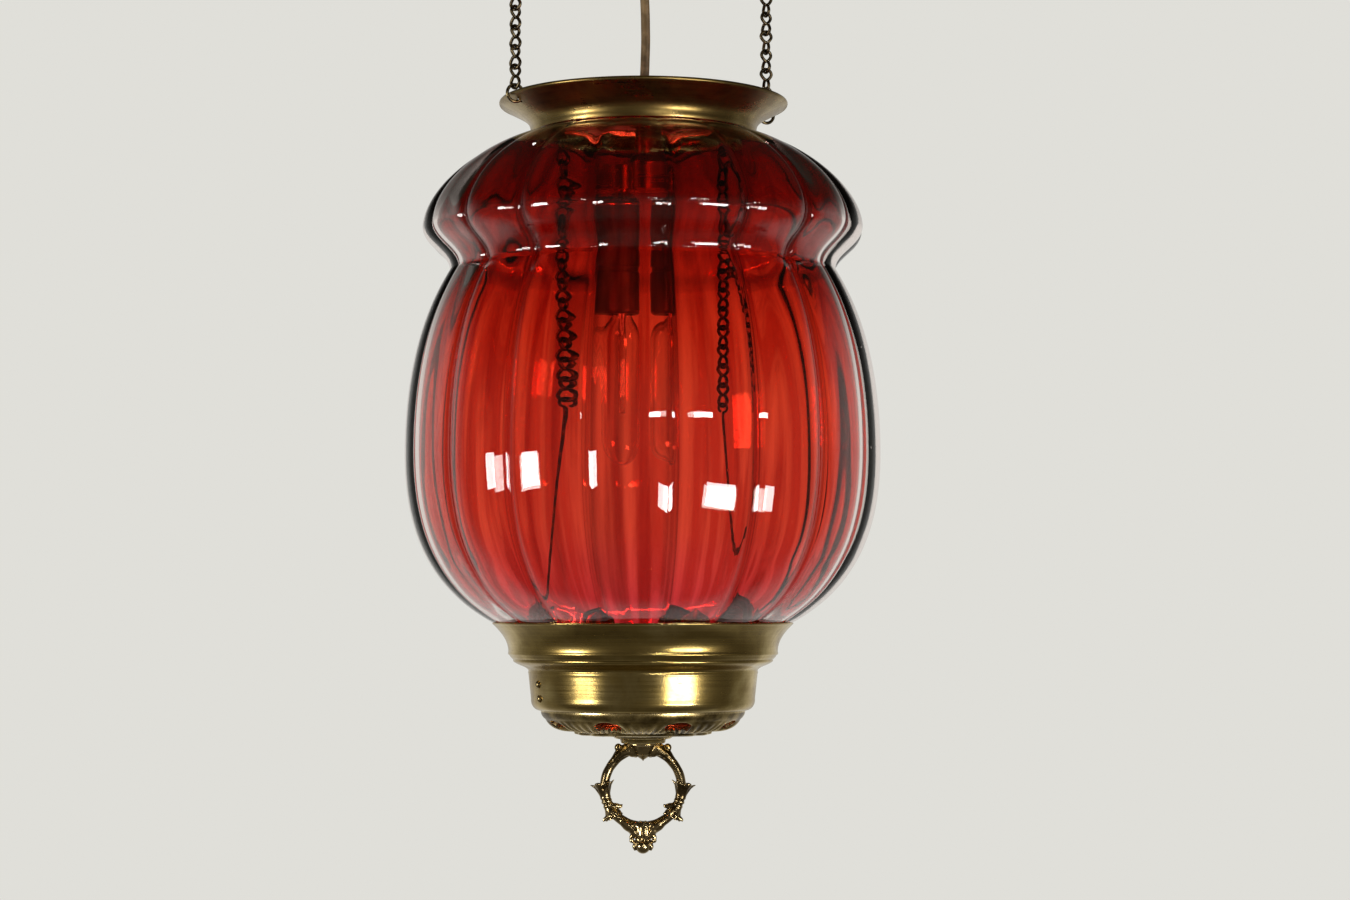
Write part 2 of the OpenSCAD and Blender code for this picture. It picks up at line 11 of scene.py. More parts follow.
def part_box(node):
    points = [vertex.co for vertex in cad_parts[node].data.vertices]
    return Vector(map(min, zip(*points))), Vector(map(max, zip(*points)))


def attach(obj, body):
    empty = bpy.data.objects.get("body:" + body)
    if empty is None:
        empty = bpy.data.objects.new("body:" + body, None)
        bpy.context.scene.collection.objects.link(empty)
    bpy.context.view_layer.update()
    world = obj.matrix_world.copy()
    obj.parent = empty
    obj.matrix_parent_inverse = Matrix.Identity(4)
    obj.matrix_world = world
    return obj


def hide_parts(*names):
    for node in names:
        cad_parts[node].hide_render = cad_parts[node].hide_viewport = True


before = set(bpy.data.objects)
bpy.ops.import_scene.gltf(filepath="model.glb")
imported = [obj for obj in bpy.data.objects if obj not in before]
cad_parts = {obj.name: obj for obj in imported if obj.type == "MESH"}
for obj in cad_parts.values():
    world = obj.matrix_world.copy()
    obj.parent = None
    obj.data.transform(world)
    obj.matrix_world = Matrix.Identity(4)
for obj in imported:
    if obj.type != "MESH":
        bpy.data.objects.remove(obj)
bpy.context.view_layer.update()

SCENE = bpy.context.scene
MM = 0.001
TAU = 2 * math.pi
# Height of the crown's lip, from which the lamp's own heights are measured down
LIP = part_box("crown")[1].z
FORWARD_TURN = math.radians(25)
RIBS = 18
RIB_TURN = math.radians(12)
RING_TURN = math.radians(-25)
SOCKET_TURN = math.radians(-25)
BASE_TURN = math.radians(-25)
SHADE_LENGTH = 0.311
CAMERA_DISTANCE = 1.6025
CAMERA_DROP = 0.2967
CAMERA_YAW = math.radians(0.66)
CAMERA_TILT = math.radians(3.33)


# ---- Camera, before anything else ----

def floor_vector(angle):
    """Level direction, turned clockwise from +Y as seen from above."""
    return Vector((math.sin(angle), math.cos(angle), 0))


FORWARD = floor_vector(FORWARD_TURN)
RIGHTWARD = floor_vector(FORWARD_TURN + math.pi / 2)

camera_data = bpy.data.cameras.new("camera")
camera_data.lens = 73.68
camera_data.sensor_width = 36
camera_data.clip_end = 100
camera = bpy.data.objects.new("camera", camera_data)
SCENE.collection.objects.link(camera)
SCENE.camera = camera
camera.location = FORWARD * -CAMERA_DISTANCE + Vector((0, 0, LIP - CAMERA_DROP))
look = floor_vector(FORWARD_TURN + CAMERA_YAW) + Vector((0, 0, math.tan(CAMERA_TILT)))
camera.rotation_euler = look.to_track_quat("-Z", "Y").to_euler()


# ---- Making meshes ----

def bezier(a, b, c, d, steps=16):
    """Points of a cubic curve, leaving out its first point."""
    out = []
    for i in range(1, steps + 1):
        t = i / steps
        s = 1 - t
        out.append(tuple(s**3 * p + 3 * s * s * t * q + 3 * s * t * t * r + t**3 * w
                         for p, q, r, w in zip(a, b, c, d)))
    return out


def blended(table, x):
    """Value at x of a table of (x, value) rows, eased between rows."""
    rows = sorted(table)
    if x <= rows[0][0]:
        return rows[0][1]
    for (x0, v0), (x1, v1) in zip(rows, rows[1:]):
        if x <= x1:
            t = (x - x0) / (x1 - x0)
            t = t * t * (3 - 2 * t)
            return v0 + (v1 - v0) * t
    return rows[-1][1]


def smooth_path(points, steps=6, closed=False):
    """Catmull-Rom curve through points."""
    pts = [Vector(p) for p in points]
    count = len(pts)
    out = []
    spans = count if closed else count - 1
    for i in range(spans):
        if closed:
            p0, p1, p2, p3 = (pts[(i + k) % count] for k in (-1, 0, 1, 2))
        else:
            p1, p2 = pts[i], pts[i + 1]
            p0 = pts[i - 1] if i else p1 * 2 - p2
            p3 = pts[i + 2] if i + 2 < count else p2 * 2 - p1
        for k in range(steps):
            t = k / steps
            out.append(0.5 * ((2 * p1) + (p2 - p0) * t + (2 * p0 - 5 * p1 + 4 * p2 - p3) * t * t
                              + (3 * p1 - p0 - 3 * p2 + p3) * t**3))
    if not closed:
        out.append(pts[-1])
    return out


def offset_profile(points, distance):
    """Open outline of (radius, height), moved sideways to the right of its direction."""
    out = []
    last = len(points) - 1
    for i, (r, z) in enumerate(points):
        a = Vector(points[max(i - 1, 0)])
        b = Vector(points[min(i + 1, last)])
        d = (b - a).normalized()
        out.append((r + d.y * distance, z - d.x * distance))
    return out


def arc(cx, cy, radius, start, end, steps):
    """Points of an arc in a profile, angles in degrees."""
    turns = [math.radians(start + (end - start) * i / steps) for i in range(steps + 1)]
    return [(cx + radius * math.cos(a), cy + radius * math.sin(a)) for a in turns]


def revolve(profile, segments=128, warp=None, closed=True):
    """Turned surface from (radius, height) rows. warp(row, r, z, angle) may move a point."""
    verts, faces = [], []
    n = len(profile)
    for j in range(segments):
        angle = TAU * j / segments
        for i, (r, z) in enumerate(profile):
            if warp:
                r, z = warp(i, r, z, angle)
            verts.append((r * math.cos(angle), r * math.sin(angle), z))
    for j in range(segments):
        k = (j + 1) % segments
        for i in range(n if closed else n - 1):
            m = (i + 1) % n
            faces.append((j * n + i, k * n + i, k * n + m, j * n + m))
    return verts, faces


def lathed(profile, segments, warp=None):
    """Turned solid whose profile starts and ends on the axis."""
    return revolve(profile, segments, warp, closed=False)


def sweep(path, section, closed=False, side=(0, 0, 1)):
    """Tube along path. section(i) gives its (u, v) points; side is roughly the v direction."""
    pts = [Vector(p) for p in path]
    count = len(pts)
    verts, faces = [], []
    v = Vector(side)
    rings = []
    for i, p in enumerate(pts):
        if closed:
            t = pts[(i + 1) % count] - pts[i - 1]
        else:
            t = pts[min(i + 1, count - 1)] - pts[max(i - 1, 0)]
        t.normalize()
        v = (v - t * v.dot(t)).normalized()
        u = v.cross(t).normalized()
        ring = [p + u * a + v * b for a, b in section(i)]
        rings.append(ring)
    n = len(rings[0])
    for ring in rings:
        verts += [tuple(p) for p in ring]
    for i in range(count if closed else count - 1):
        k = (i + 1) % count
        for j in range(n):
            m = (j + 1) % n
            faces.append((i * n + j, i * n + m, k * n + m, k * n + j))
    if not closed:
        faces.append(tuple(range(n - 1, -1, -1)))
        faces.append(tuple((count - 1) * n + j for j in range(n)))
    return verts, faces


def round_section(radius, sides=12):
    """Section function of a round wire. radius may be a number or a function of the row."""
    def section(i):
        r = radius(i) if callable(radius) else radius
        return [(r * math.cos(TAU * k / sides), r * math.sin(TAU * k / sides)) for k in range(sides)]
    return section


def ball(centre, radius, stretch=(1, 1, 1), rows=10, sides=16):
    """Closed round lump."""
    profile = [(radius * math.sin(math.pi * i / rows), -radius * math.cos(math.pi * i / rows))
               for i in range(rows + 1)]
    verts, faces = lathed(profile, sides)
    c = Vector(centre)
    return [tuple(c + Vector((x * stretch[0], y * stretch[1], z * stretch[2])))
            for x, y, z in verts], faces


def moved(shape, matrix):
    """Shape with a matrix applied."""
    verts, faces = shape
    return [tuple(matrix @ Vector(v)) for v in verts], faces


def merged(shapes):
    """Several shapes as one."""
    verts, faces = [], []
    for vs, fs in shapes:
        base = len(verts)
        verts += vs
        faces += [tuple(base + i for i in f) for f in fs]
    return verts, faces


def turned(angle):
    """Turn about the lamp's axis."""
    return Matrix.Rotation(angle, 4, "Z")


def at(x, y, z):
    """Move, in millimetres."""
    return Matrix.Translation((x, y, z))


def build(name, shape, lamp=True):
    """Mesh object from a shape in millimetres. Lamp shapes give heights as drops from the lip."""
    verts, faces = shape
    base = LIP if lamp else 0.0
    mesh = bpy.data.meshes.new(name)
    mesh.from_pydata([(x * MM, y * MM, z * MM + base) for x, y, z in verts], [], faces)
    bm = bmesh.new()
    bm.from_mesh(mesh)
    bmesh.ops.remove_doubles(bm, verts=bm.verts, dist=1e-7)
    bmesh.ops.dissolve_degenerate(bm, edges=bm.edges, dist=1e-7)
    bmesh.ops.recalc_face_normals(bm, faces=bm.faces)
    bm.to_mesh(mesh)
    bm.free()
    obj = bpy.data.objects.new(name, mesh)
    SCENE.collection.objects.link(obj)
    return obj


def applied(obj, name):
    """obj's mesh with its modifiers applied, as a new object in its place."""
    graph = bpy.context.evaluated_depsgraph_get()
    mesh = bpy.data.meshes.new_from_object(obj.evaluated_get(graph))
    mesh.name = name
    bpy.data.objects.remove(obj)
    out = bpy.data.objects.new(name, mesh)
    SCENE.collection.objects.link(out)
    return out


def with_holes(obj, cutters, name):
    """obj with the cutters' shapes taken out."""
    cutter = build("cutter", merged(cutters))
    cut = obj.modifiers.new("holes", "BOOLEAN")
    cut.operation = "DIFFERENCE"
    cut.solver = "EXACT"
    cut.object = cutter
    out = applied(obj, name)
    bpy.data.objects.remove(cutter)
    return out


def fused(obj, name, voxel, smooth=3, keep=0.5):
    """obj's overlapping shapes as one casting."""
    remesh = obj.modifiers.new("remesh", "REMESH")
    remesh.mode = "VOXEL"
    remesh.voxel_size = voxel * MM
    soft = obj.modifiers.new("smooth", "SMOOTH")
    soft.factor = 0.5
    soft.iterations = smooth
    if keep < 1:
        fewer = obj.modifiers.new("decimate", "DECIMATE")
        fewer.ratio = keep
    return applied(obj, name)


def finish_piece(obj, body, material, nodes=(), sharp=40):
    """Shades obj, gives it its material and puts it on its body."""
    mesh = obj.data
    mesh.materials.clear()
    mesh.materials.append(material)
    for p in mesh.polygons:
        p.use_smooth = True
        p.material_index = 0
    if sharp:
        mesh.set_sharp_from_angle(angle=math.radians(sharp))
    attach(obj, body)
    if nodes:
        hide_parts(*nodes)
    return obj


def piece(name, shape, body, material, nodes=(), lamp=True, sharp=40):
    """Builds, shades and places one piece."""
    return finish_piece(build(name, shape, lamp), body, material, nodes, sharp)


# ---- Materials ----

class Graph:
    """Small helper round the node tree of a material, or of the world."""

    def __init__(self, name, world=False):
        self.owner = (bpy.data.worlds if world else bpy.data.materials).new(name)
        self.owner.use_nodes = True
        self.tree = self.owner.node_tree
        self.tree.nodes.clear()
        self.out = self.add("OutputWorld" if world else "OutputMaterial")

    def add(self, kind, **values):
        node = self.tree.nodes.new("ShaderNode" + kind)
        for key, value in values.items():
            setattr(node, key, value)
        return node

    def put(self, socket, value):
        if isinstance(value, bpy.types.NodeSocket):
            self.tree.links.new(value, socket)
        elif value is not None:
            if isinstance(value, (tuple, list)) and len(value) == 3 and len(socket.default_value) == 4:
                value = (*value, 1)
            socket.default_value = value

    def node(self, kind, sockets, **values):
        """New node with some of its sockets set, each by its name or its number."""
        node = self.add(kind, **values)
        for key, value in sockets.items():
            self.put(node.inputs[key], value)
        return node

    def coords(self):
        return self.add("TexCoord").outputs["Object"]

    def maths(self, operation, a, b=None):
        return self.node("Math", {0: a, 1: b}, operation=operation).outputs[0]

    def plus(self, a, b):
        return self.maths("ADD", a, b)

    def minus(self, a, b):
        return self.maths("SUBTRACT", a, b)

    def times(self, a, b):
        return self.maths("MULTIPLY", a, b)

    def from_axis(self, x, y):
        """Distance from the lamp's axis."""
        return self.maths("SQRT", self.plus(self.times(x, x), self.times(y, y)))

    def scaled(self, vector, scale):
        return self.node("VectorMath", {0: vector, 1: scale}, operation="MULTIPLY").outputs[0]

    def noise(self, vector, scale, detail=4, rough=0.55, distort=0):
        return self.node("TexNoise", {"Vector": vector, "Scale": scale, "Detail": detail,
                                      "Roughness": rough, "Distortion": distort}).outputs[0]

    def cells(self, vector, scale):
        return self.node("TexVoronoi", {"Vector": vector, "Scale": scale}).outputs["Distance"]

    def span(self, value, low, high, to_low=0.0, to_high=1.0):
        """Smooth step of a value, from to_low at low to to_high at high."""
        return self.node("MapRange", {"Value": value, "From Min": low, "From Max": high, "To Min": to_low,
                                      "To Max": to_high}, interpolation_type="SMOOTHSTEP").outputs[0]

    def mixed(self, factor, a, b, blend="MIX"):
        return self.node("Mix", {0: factor, 6: a, 7: b}, data_type="RGBA", blend_type=blend).outputs[2]

    def ramp(self, factor, stops):
        node = self.add("ValToRGB")
        ramp = node.color_ramp
        while len(ramp.elements) > 1:
            ramp.elements.remove(ramp.elements[-1])
        ramp.elements[0].position = stops[0][0]
        ramp.elements[0].color = (*stops[0][1], 1)
        for position, colour in stops[1:]:
            element = ramp.elements.new(position)
            element.color = (*colour, 1)
        self.put(node.inputs[0], factor)
        return node.outputs[0]

    def bump(self, height, strength, distance, normal=None):
        return self.node("Bump", {"Height": height, "Strength": strength, "Distance": distance,
                                  "Normal": normal}).outputs[0]

    def split(self, vector):
        return self.node("SeparateXYZ", {0: vector}).outputs

    def joined(self, x, y, z):
        return self.node("CombineXYZ", {0: x, 1: y, 2: z}).outputs[0]

    def shader(self, kind, **sockets):
        """Shader node. An underscore in a socket's key stands for a space."""
        return self.node(kind, {key.replace("_", " "): v for key, v in sockets.items()}).outputs[0]

    def either(self, factor, first, second):
        """First shader where factor is 0, second where it is 1."""
        return self.node("MixShader", {0: factor, 1: first, 2: second}).outputs[0]

    def show(self, shader):
        self.put(self.out.inputs["Surface"], shader)
        return self.owner

    def surface(self, **values):
        """Shows a Principled shader, and gives the material."""
        return self.show(self.shader("BsdfPrincipled", **values))


def lathe_coords(g, fine, around):
    """Coordinates that run across a spun sheet's tool lines."""
    x, y, z = g.split(g.coords())
    angle = g.maths("ARCTAN2", y, x)
    return g.joined(g.times(g.from_axis(x, y), fine), g.times(z, fine), g.times(angle, around))


def spun_brass(name, dark, mid, light, rough=0.17):
    """Old spun brass: olive-brown tarnish, fine tool lines, small pits and rubbed spots."""
    g = Graph(name)
    at_point = g.coords()
    lines = g.noise(lathe_coords(g, 900, 0.35), 1.0, 5, 0.7)
    coarse = g.noise(lathe_coords(g, 160, 1.5), 1.0, 3, 0.6)
    patches = g.noise(at_point, 22, 6, 0.62, 0.6)
    spots = g.span(g.noise(at_point, 420, 3, 0.6), 0.66, 0.74)
    tone = g.plus(g.times(patches, 0.75), g.plus(g.times(coarse, 0.18), g.times(lines, 0.12)))
    colour = g.ramp(tone, [(0.34, dark), (0.52, mid), (0.70, light)])
    colour = g.mixed(g.times(spots, 0.55), colour, dark)
    cloudy = g.plus(g.times(lines, 0.16), g.span(patches, 0.35, 0.65, 0.12, 0.0))
    normal = g.bump(lines, 0.22, 0.00012)
    normal = g.bump(g.plus(coarse, g.times(spots, -0.4)), 0.16, 0.0003, normal)
    return g.surface(Base_Color=colour, Metallic=1.0, Roughness=g.plus(rough - 0.10, cloudy), Normal=normal)


def cast_brass(name, dark, mid, light, wear=(0.49, 0.56), grain=900, rough=0.33):
    """Cast brass with dark hollows, rubbed edges and a sandy skin."""
    g = Graph(name)
    at_point = g.coords()
    patches = g.noise(at_point, 60, 5, 0.6, 0.4)
    sand = g.noise(at_point, grain, 4, 0.65)
    point = g.plus(g.add("NewGeometry").outputs["Pointiness"], g.times(g.minus(patches, 0.5), 0.10))
    worn = g.span(point, wear[0], wear[1])
    colour = g.mixed(g.span(patches, 0.35, 0.65), dark, mid)
    colour = g.mixed(worn, colour, light)
    hollow = g.span(point, wear[0] - 0.09, wear[0], 0.35, 1.0)
    colour = g.mixed(hollow, (0.012, 0.009, 0.005), colour)
    roughness = g.plus(rough, g.times(g.minus(sand, 0.5), 0.3))
    roughness = g.minus(roughness, g.times(worn, 0.10))
    normal = g.bump(sand, 0.35, 0.00018)
    return g.surface(Base_Color=colour, Metallic=1.0, Roughness=roughness, Normal=normal)


def wire_metal(name, dark, light, rough=0.36):
    """Drawn wire: dark patina, rubbed brighter where it stands proud, fine draw marks."""
    g = Graph(name)
    at_point = g.coords()
    patches = g.noise(at_point, 260, 5, 0.65)
    marks = g.noise(g.scaled(at_point, (2600, 2600, 300)), 1.0, 3, 0.6)
    worn = g.span(g.plus(patches, g.times(marks, 0.15)), 0.50, 0.70)
    roughness = g.plus(rough - 0.08, g.times(patches, 0.2))
    normal = g.bump(g.plus(patches, g.times(marks, 0.5)), 0.3, 0.0001)
    return g.surface(Base_Color=g.mixed(worn, dark, light), Metallic=1.0, Roughness=roughness, Normal=normal)


def plated_steel(name, dark, light):
    """Zinc-plated steel with a cloudy bloom and fine scratches."""
    g = Graph(name)
    at_point = g.coords()
    bloom = g.noise(at_point, 150, 4, 0.6)
    marks = g.noise(g.scaled(at_point, (300, 2400, 900)), 1.0, 3, 0.6)
    return g.surface(Base_Color=g.mixed(g.span(bloom, 0.35, 0.65), dark, light), Metallic=1.0,
                     Roughness=g.plus(0.24, g.times(marks, 0.22)), Normal=g.bump(marks, 0.2, 0.0001))


def moulded(name, dark, light, rough=0.35):
    """Moulded phenolic or plastic: flow marks, a fine orange skin and dust."""
    g = Graph(name)
    at_point = g.coords()
    flow = g.noise(g.scaled(at_point, (1, 1, 0.35)), 90, 4, 0.6, 1.2)
    skin = g.noise(at_point, 1500, 2, 0.5)
    return g.surface(Base_Color=g.mixed(g.span(flow, 0.35, 0.7), dark, light),
                     Roughness=g.plus(rough - 0.06, g.times(flow, 0.18)), Normal=g.bump(skin, 0.15, 0.00008))


def cord_cover(name):
    """Brown-gold flat cord: soft plastic with faint ribs along it and scuffs."""
    g = Graph(name)
    at_point = g.coords()
    streaks = g.noise(g.scaled(at_point, (1400, 1400, 30)), 1.0, 3, 0.6)
    scuffs = g.noise(at_point, 160, 4, 0.6)
    colour = g.mixed(g.span(scuffs, 0.35, 0.7), (0.11, 0.066, 0.024), (0.22, 0.145, 0.065))
    colour = g.mixed(g.times(streaks, 0.35), colour, (0.08, 0.045, 0.015))
    return g.surface(Base_Color=colour, Roughness=g.plus(0.28, g.times(scuffs, 0.2)),
                     Normal=g.bump(streaks, 0.25, 0.0001), Coat_Weight=0.25)


def glass(name, colour_of, tint, waves=0.0):
    """Glass that lets lamplight through, so that what hangs inside it is lit."""
    g = Graph(name)
    at_point = g.coords()
    colour = colour_of(g, at_point) if colour_of else tint
    normal = None
    if waves:
        ripple = g.noise(g.scaled(at_point, (1, 1, 0.2)), 40, 2, 0.4)
        seed = g.span(g.cells(at_point, 70), 0.015, 0.05, 1.0, 0.0)
        normal = g.bump(ripple, waves, 0.004)
        normal = g.bump(seed, 0.10, 0.0002, normal)
    solid = g.shader("BsdfPrincipled", Base_Color=colour, Roughness=0.0, IOR=1.5, Normal=normal,
                     Transmission_Weight=1.0)
    clear = g.shader("BsdfTransparent", Color=tint)
    return g.show(g.either(g.add("LightPath").outputs["Is Shadow Ray"], solid, clear))


def drop_share(g, z):
    """Depth below the lip: 0 at the lip, and 1 at the shade's lower edge."""
    return g.maths("DIVIDE", g.minus(z, LIP), -SHADE_LENGTH)


def ruby_colour(g, at_point):
    """Ruby casing: deep in the dome where the gather is thick, rose low down, streaked lengthways."""
    x, y, z = g.split(at_point)
    down = drop_share(g, z)
    base = g.ramp(down, [(0.05, (0.15, 0.0008, 0.0004)), (0.20, (0.29, 0.003, 0.001)),
                         (0.31, (0.38, 0.005, 0.0015)), (0.38, (0.62, 0.018, 0.005)),
                         (0.55, (0.77, 0.040, 0.014)), (0.80, (0.83, 0.048, 0.022)),
                         (0.95, (0.72, 0.026, 0.036))])
    radius = g.from_axis(x, y)
    around = g.joined(g.maths("DIVIDE", x, radius), g.maths("DIVIDE", y, radius), g.times(z, 0.35))
    streaks = g.plus(g.times(g.noise(around, 9, 3, 0.6), 0.6), g.times(g.noise(around, 34, 3, 0.6), 0.4))
    # Three faint bands to each rib, and a dark line of painted shade along each groove, standing in for the
    # darkness that the grooves' refraction shows
    angle = g.minus(g.maths("ARCTAN2", y, x), RIB_TURN)
    streaks = g.plus(streaks, g.times(g.maths("COSINE", g.times(angle, 3 * RIBS)), -0.07))
    deep = g.mixed(1.0, base, (0.60, 0.22, 0.20), "MULTIPLY")
    pale = g.mixed(1.0, base, (1.20, 1.75, 1.80), "MULTIPLY")
    streaked = g.mixed(g.span(streaks, 0.40, 0.60), deep, pale)
    # Painted shade: each groove's dark line, wider and stronger higher up the shade.
    near = g.plus(g.maths("COSINE", g.times(angle, RIBS)), g.times(g.minus(streaks, 0.5), 0.8))
    edge = g.span(down, 0.25, 0.5, 0.42, 0.74)
    strength = g.span(down, 0.25, 0.6, 0.92, 0.60)
    groove = g.span(near, edge, 1.0, 0.0, strength)
    return g.mixed(groove, streaked, g.mixed(1.0, base, (0.22, 0.06, 0.06), "MULTIPLY"))


def casing_colour(g, at_point):
    """Clear casing, faintly pink, and dark red near the collar."""
    stain = g.noise(at_point, 30, 3, 0.5)
    pink = g.mixed(stain, (0.97, 0.89, 0.87), (0.95, 0.83, 0.80))
    return g.mixed(g.span(drop_share(g, g.split(at_point)[2]), 0.06, 0.20), (0.34, 0.10, 0.07), pink)


spun = spun_brass("spun_brass", (0.19, 0.122, 0.036), (0.43, 0.305, 0.097), (0.76, 0.60, 0.27))
# The crown gets a darker, rougher copy of the spun brass: painted shade for its flare, which faces down into
# a dark room.
shaded_crown_brass = spun_brass("shaded_crown_brass", (0.115, 0.072, 0.022), (0.28, 0.192, 0.062),
                         (0.54, 0.41, 0.18), 0.24)
canopy_brass = spun_brass("canopy_brass", (0.20, 0.128, 0.038), (0.48, 0.345, 0.115),
                          (0.80, 0.63, 0.29), 0.22)
bright_brass = spun_brass("bright_brass", (0.34, 0.23, 0.09), (0.55, 0.40, 0.17), (0.72, 0.56, 0.27), 0.22)
base_brass = cast_brass("base_brass", (0.12, 0.082, 0.026), (0.38, 0.27, 0.088), (0.78, 0.61, 0.29))
ring_brass = cast_brass("pull_ring_brass", (0.10, 0.066, 0.026), (0.30, 0.212, 0.088), (0.68, 0.53, 0.28),
                        (0.48, 0.55), 1100, 0.22)
rivet_brass = cast_brass("rivet_brass", (0.12, 0.085, 0.032), (0.34, 0.24, 0.09), (0.66, 0.52, 0.25))
chain_bronze = wire_metal("chain_bronze", (0.055, 0.042, 0.026), (0.20, 0.155, 0.085))
jump_brass = wire_metal("jump_ring_brass", (0.075, 0.055, 0.028), (0.30, 0.235, 0.115), 0.3)
inner_bronze = wire_metal("inner_bronze", (0.035, 0.025, 0.016), (0.12, 0.085, 0.045), 0.42)
gallery_metal = cast_brass("gallery_brass", (0.05, 0.035, 0.018), (0.12, 0.085, 0.04), (0.26, 0.19, 0.09))
zinc = plated_steel("zinc_plate", (0.42, 0.42, 0.40), (0.62, 0.62, 0.60))
phenolic = moulded("phenolic", (0.030, 0.020, 0.014), (0.075, 0.048, 0.030))
bushing_plastic = moulded("bushing_plastic", (0.022, 0.018, 0.015), (0.05, 0.04, 0.032))
nut_plastic = moulded("wire_nut_plastic", (0.45, 0.16, 0.03), (0.62, 0.26, 0.06))
cord_plastic = cord_cover("cord_cover")
filament_metal = plated_steel("filament_metal", (0.30, 0.28, 0.25), (0.55, 0.52, 0.48))
nut_steel = plated_steel("nut_steel", (0.36, 0.33, 0.26), (0.55, 0.50, 0.40))
shade_clear = glass("shade_clear", casing_colour, (0.96, 0.87, 0.85), waves=0.03)
shade_ruby = glass("shade_ruby", ruby_colour, (0.80, 0.10, 0.07), waves=0.02)
bulb_clear = glass("bulb_clear", None, (0.96, 0.96, 0.95))


# ---- Cord ----

CORD_ROUTE = [
    (0, 0, -0.034), (0.0001, 0, -0.037), (0.0004, 0, -0.042), (0.0007, 0, -0.048),
    (0.0010, 0, -0.054), (0.0012, 0, -0.060), (0.0013, 0, -0.066), (0.0014, 0, -0.072),
    (0.0013, 0, -0.078), (0.0011, 0, -0.084), (0.0009, 0, -0.090), (0.0006, 0, -0.096),
    (0.0003, 0, -0.102), (0.0001, 0, -0.108), (0, 0, -0.112)]
CORD_WIDTH = 5.6
CORD_CORE = 1.45


def twin_section(i):
    """Two round cores side by side with a groove between them."""
    middle = CORD_WIDTH / 2 - CORD_CORE
    right = [(middle + CORD_CORE * math.cos(math.radians(a)), CORD_CORE * math.sin(math.radians(a)))
             for a in range(-110, 111, 20)]
    left = [(-x, -y) for x, y in right]
    return right + [(0, 1.0)] + left + [(0, -1.0)]


cord_path = smooth_path([Vector(p) / MM for p in CORD_ROUTE], 4)
cord = piece("lamp_cord_twin", sweep(cord_path, twin_section, side=(0, 1, 0)), "cord",
             cord_plastic, ["lamp_cord"], lamp=False, sharp=60)


# ---- Chains and rings ----

WIRE = 0.95
LOOP = 3.4
LOOP_OFFSET = LOOP - 0.15
LINK_REACH = LOOP + LOOP_OFFSET
LINK_PITCH = 2 * (LINK_REACH - WIRE) - 0.05


def link_shape():
    """One wire link: two loops a quarter turn apart, with the wire's ends tucked in at the waist."""
    points = []
    steps = 14
    for upper in (True, False):
        for i in range(steps + 1):
            t = i / steps
            a = math.radians(26 + 308 * t)
            waist = 1 - 0.36 * max(0, math.cos(a))
            across = LOOP * waist * math.sin(a)
            drift = 0.6 - 1.2 * t
            height = LOOP_OFFSET - LOOP * math.cos(a)
            points.append((across, drift, height) if upper else (-drift, across, -height))
        if upper:
            points.append((-0.25, -0.5, 0.0))
    path = smooth_path(points, 3)
    last = len(path) - 1

    def radius(i):
        return WIRE * (0.72 if i in (0, last) else 1.0)
    return sweep(path, round_section(radius, 10), side=(0.3, 1, 0.2))


LINK = link_shape()


def chain(name, node, body, material, turn, seed):
    """Row of links where the CAD chain hangs, each turned a little in its neighbours."""
    lo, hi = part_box(node)
    x, y = (lo.x + hi.x) / 2 / MM, (lo.y + hi.y) / 2 / MM
    first = hi.z / MM - LINK_REACH - WIRE
    count = round((hi.z - lo.z) / MM / LINK_PITCH - 0.3)
    draw = random.Random(seed)
    links = []
    for i in range(count):
        twist = Matrix.Rotation(math.radians(turn + draw.uniform(-8, 8)), 4, "Z")
        links.append(moved(LINK, at(x, y, first - i * LINK_PITCH) @ twist))
    return piece(name, merged(links), body, material, [node], lamp=False)


def split_ring(centre, radius, wire, facing, gap_at=90, gap=3.0):
    """Round wire ring with a fine butt joint. facing is the axis that its face looks along."""
    points = []
    steps = 48
    for i in range(steps + 1):
        a = math.radians(gap_at + gap / 2 + (360 - gap) * i / steps)
        u, v = radius * math.cos(a), radius * math.sin(a)
        points.append((u, 0, v) if facing == "Y" else (0, u, v))
    side = (0, 1, 0) if facing == "Y" else (1, 0, 0)
    return moved(sweep(points, round_section(wire, 14), side=side), at(*centre))


for side_name, turn, seed in (("left", 22, 3), ("right", 0, 8)):
    chain(f"outer_links_{side_name}", f"outer_chain_{side_name}", f"chain_{side_name}",
          chain_bronze, turn, seed)
    chain(f"inner_links_{side_name}", f"inner_chain_{side_name}", "lamp",
          inner_bronze, turn + 12, seed + 20)

top_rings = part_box("top_jump_rings")
crown_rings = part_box("bottom_jump_rings")
CHAIN_X = top_rings[1].x / MM - WIRE
TOP_RING = top_rings[1].y / MM - WIRE
TOP_RING_Z = (top_rings[0].z + top_rings[1].z) / 2 / MM
CROWN_RING = (crown_rings[1].z - crown_rings[0].z) / 2 / MM - WIRE
CROWN_RING_Z = (crown_rings[0].z + crown_rings[1].z) / 2 / MM
piece("jump_rings_top",
      merged([split_ring((s * CHAIN_X, 0, TOP_RING_Z), TOP_RING, WIRE, "X", 0) for s in (-1, 1)]),
      "top_rings", chain_bronze, ["top_jump_rings"], lamp=False)
piece("jump_rings_crown",
      merged([split_ring((s * CHAIN_X, 0, CROWN_RING_Z), CROWN_RING, WIRE, "Y", 90 - s * 40)
              for s in (-1, 1)]),
      "bottom_rings", jump_brass, ["bottom_jump_rings"], lamp=False)


# ---- Ribbed glass shade ----

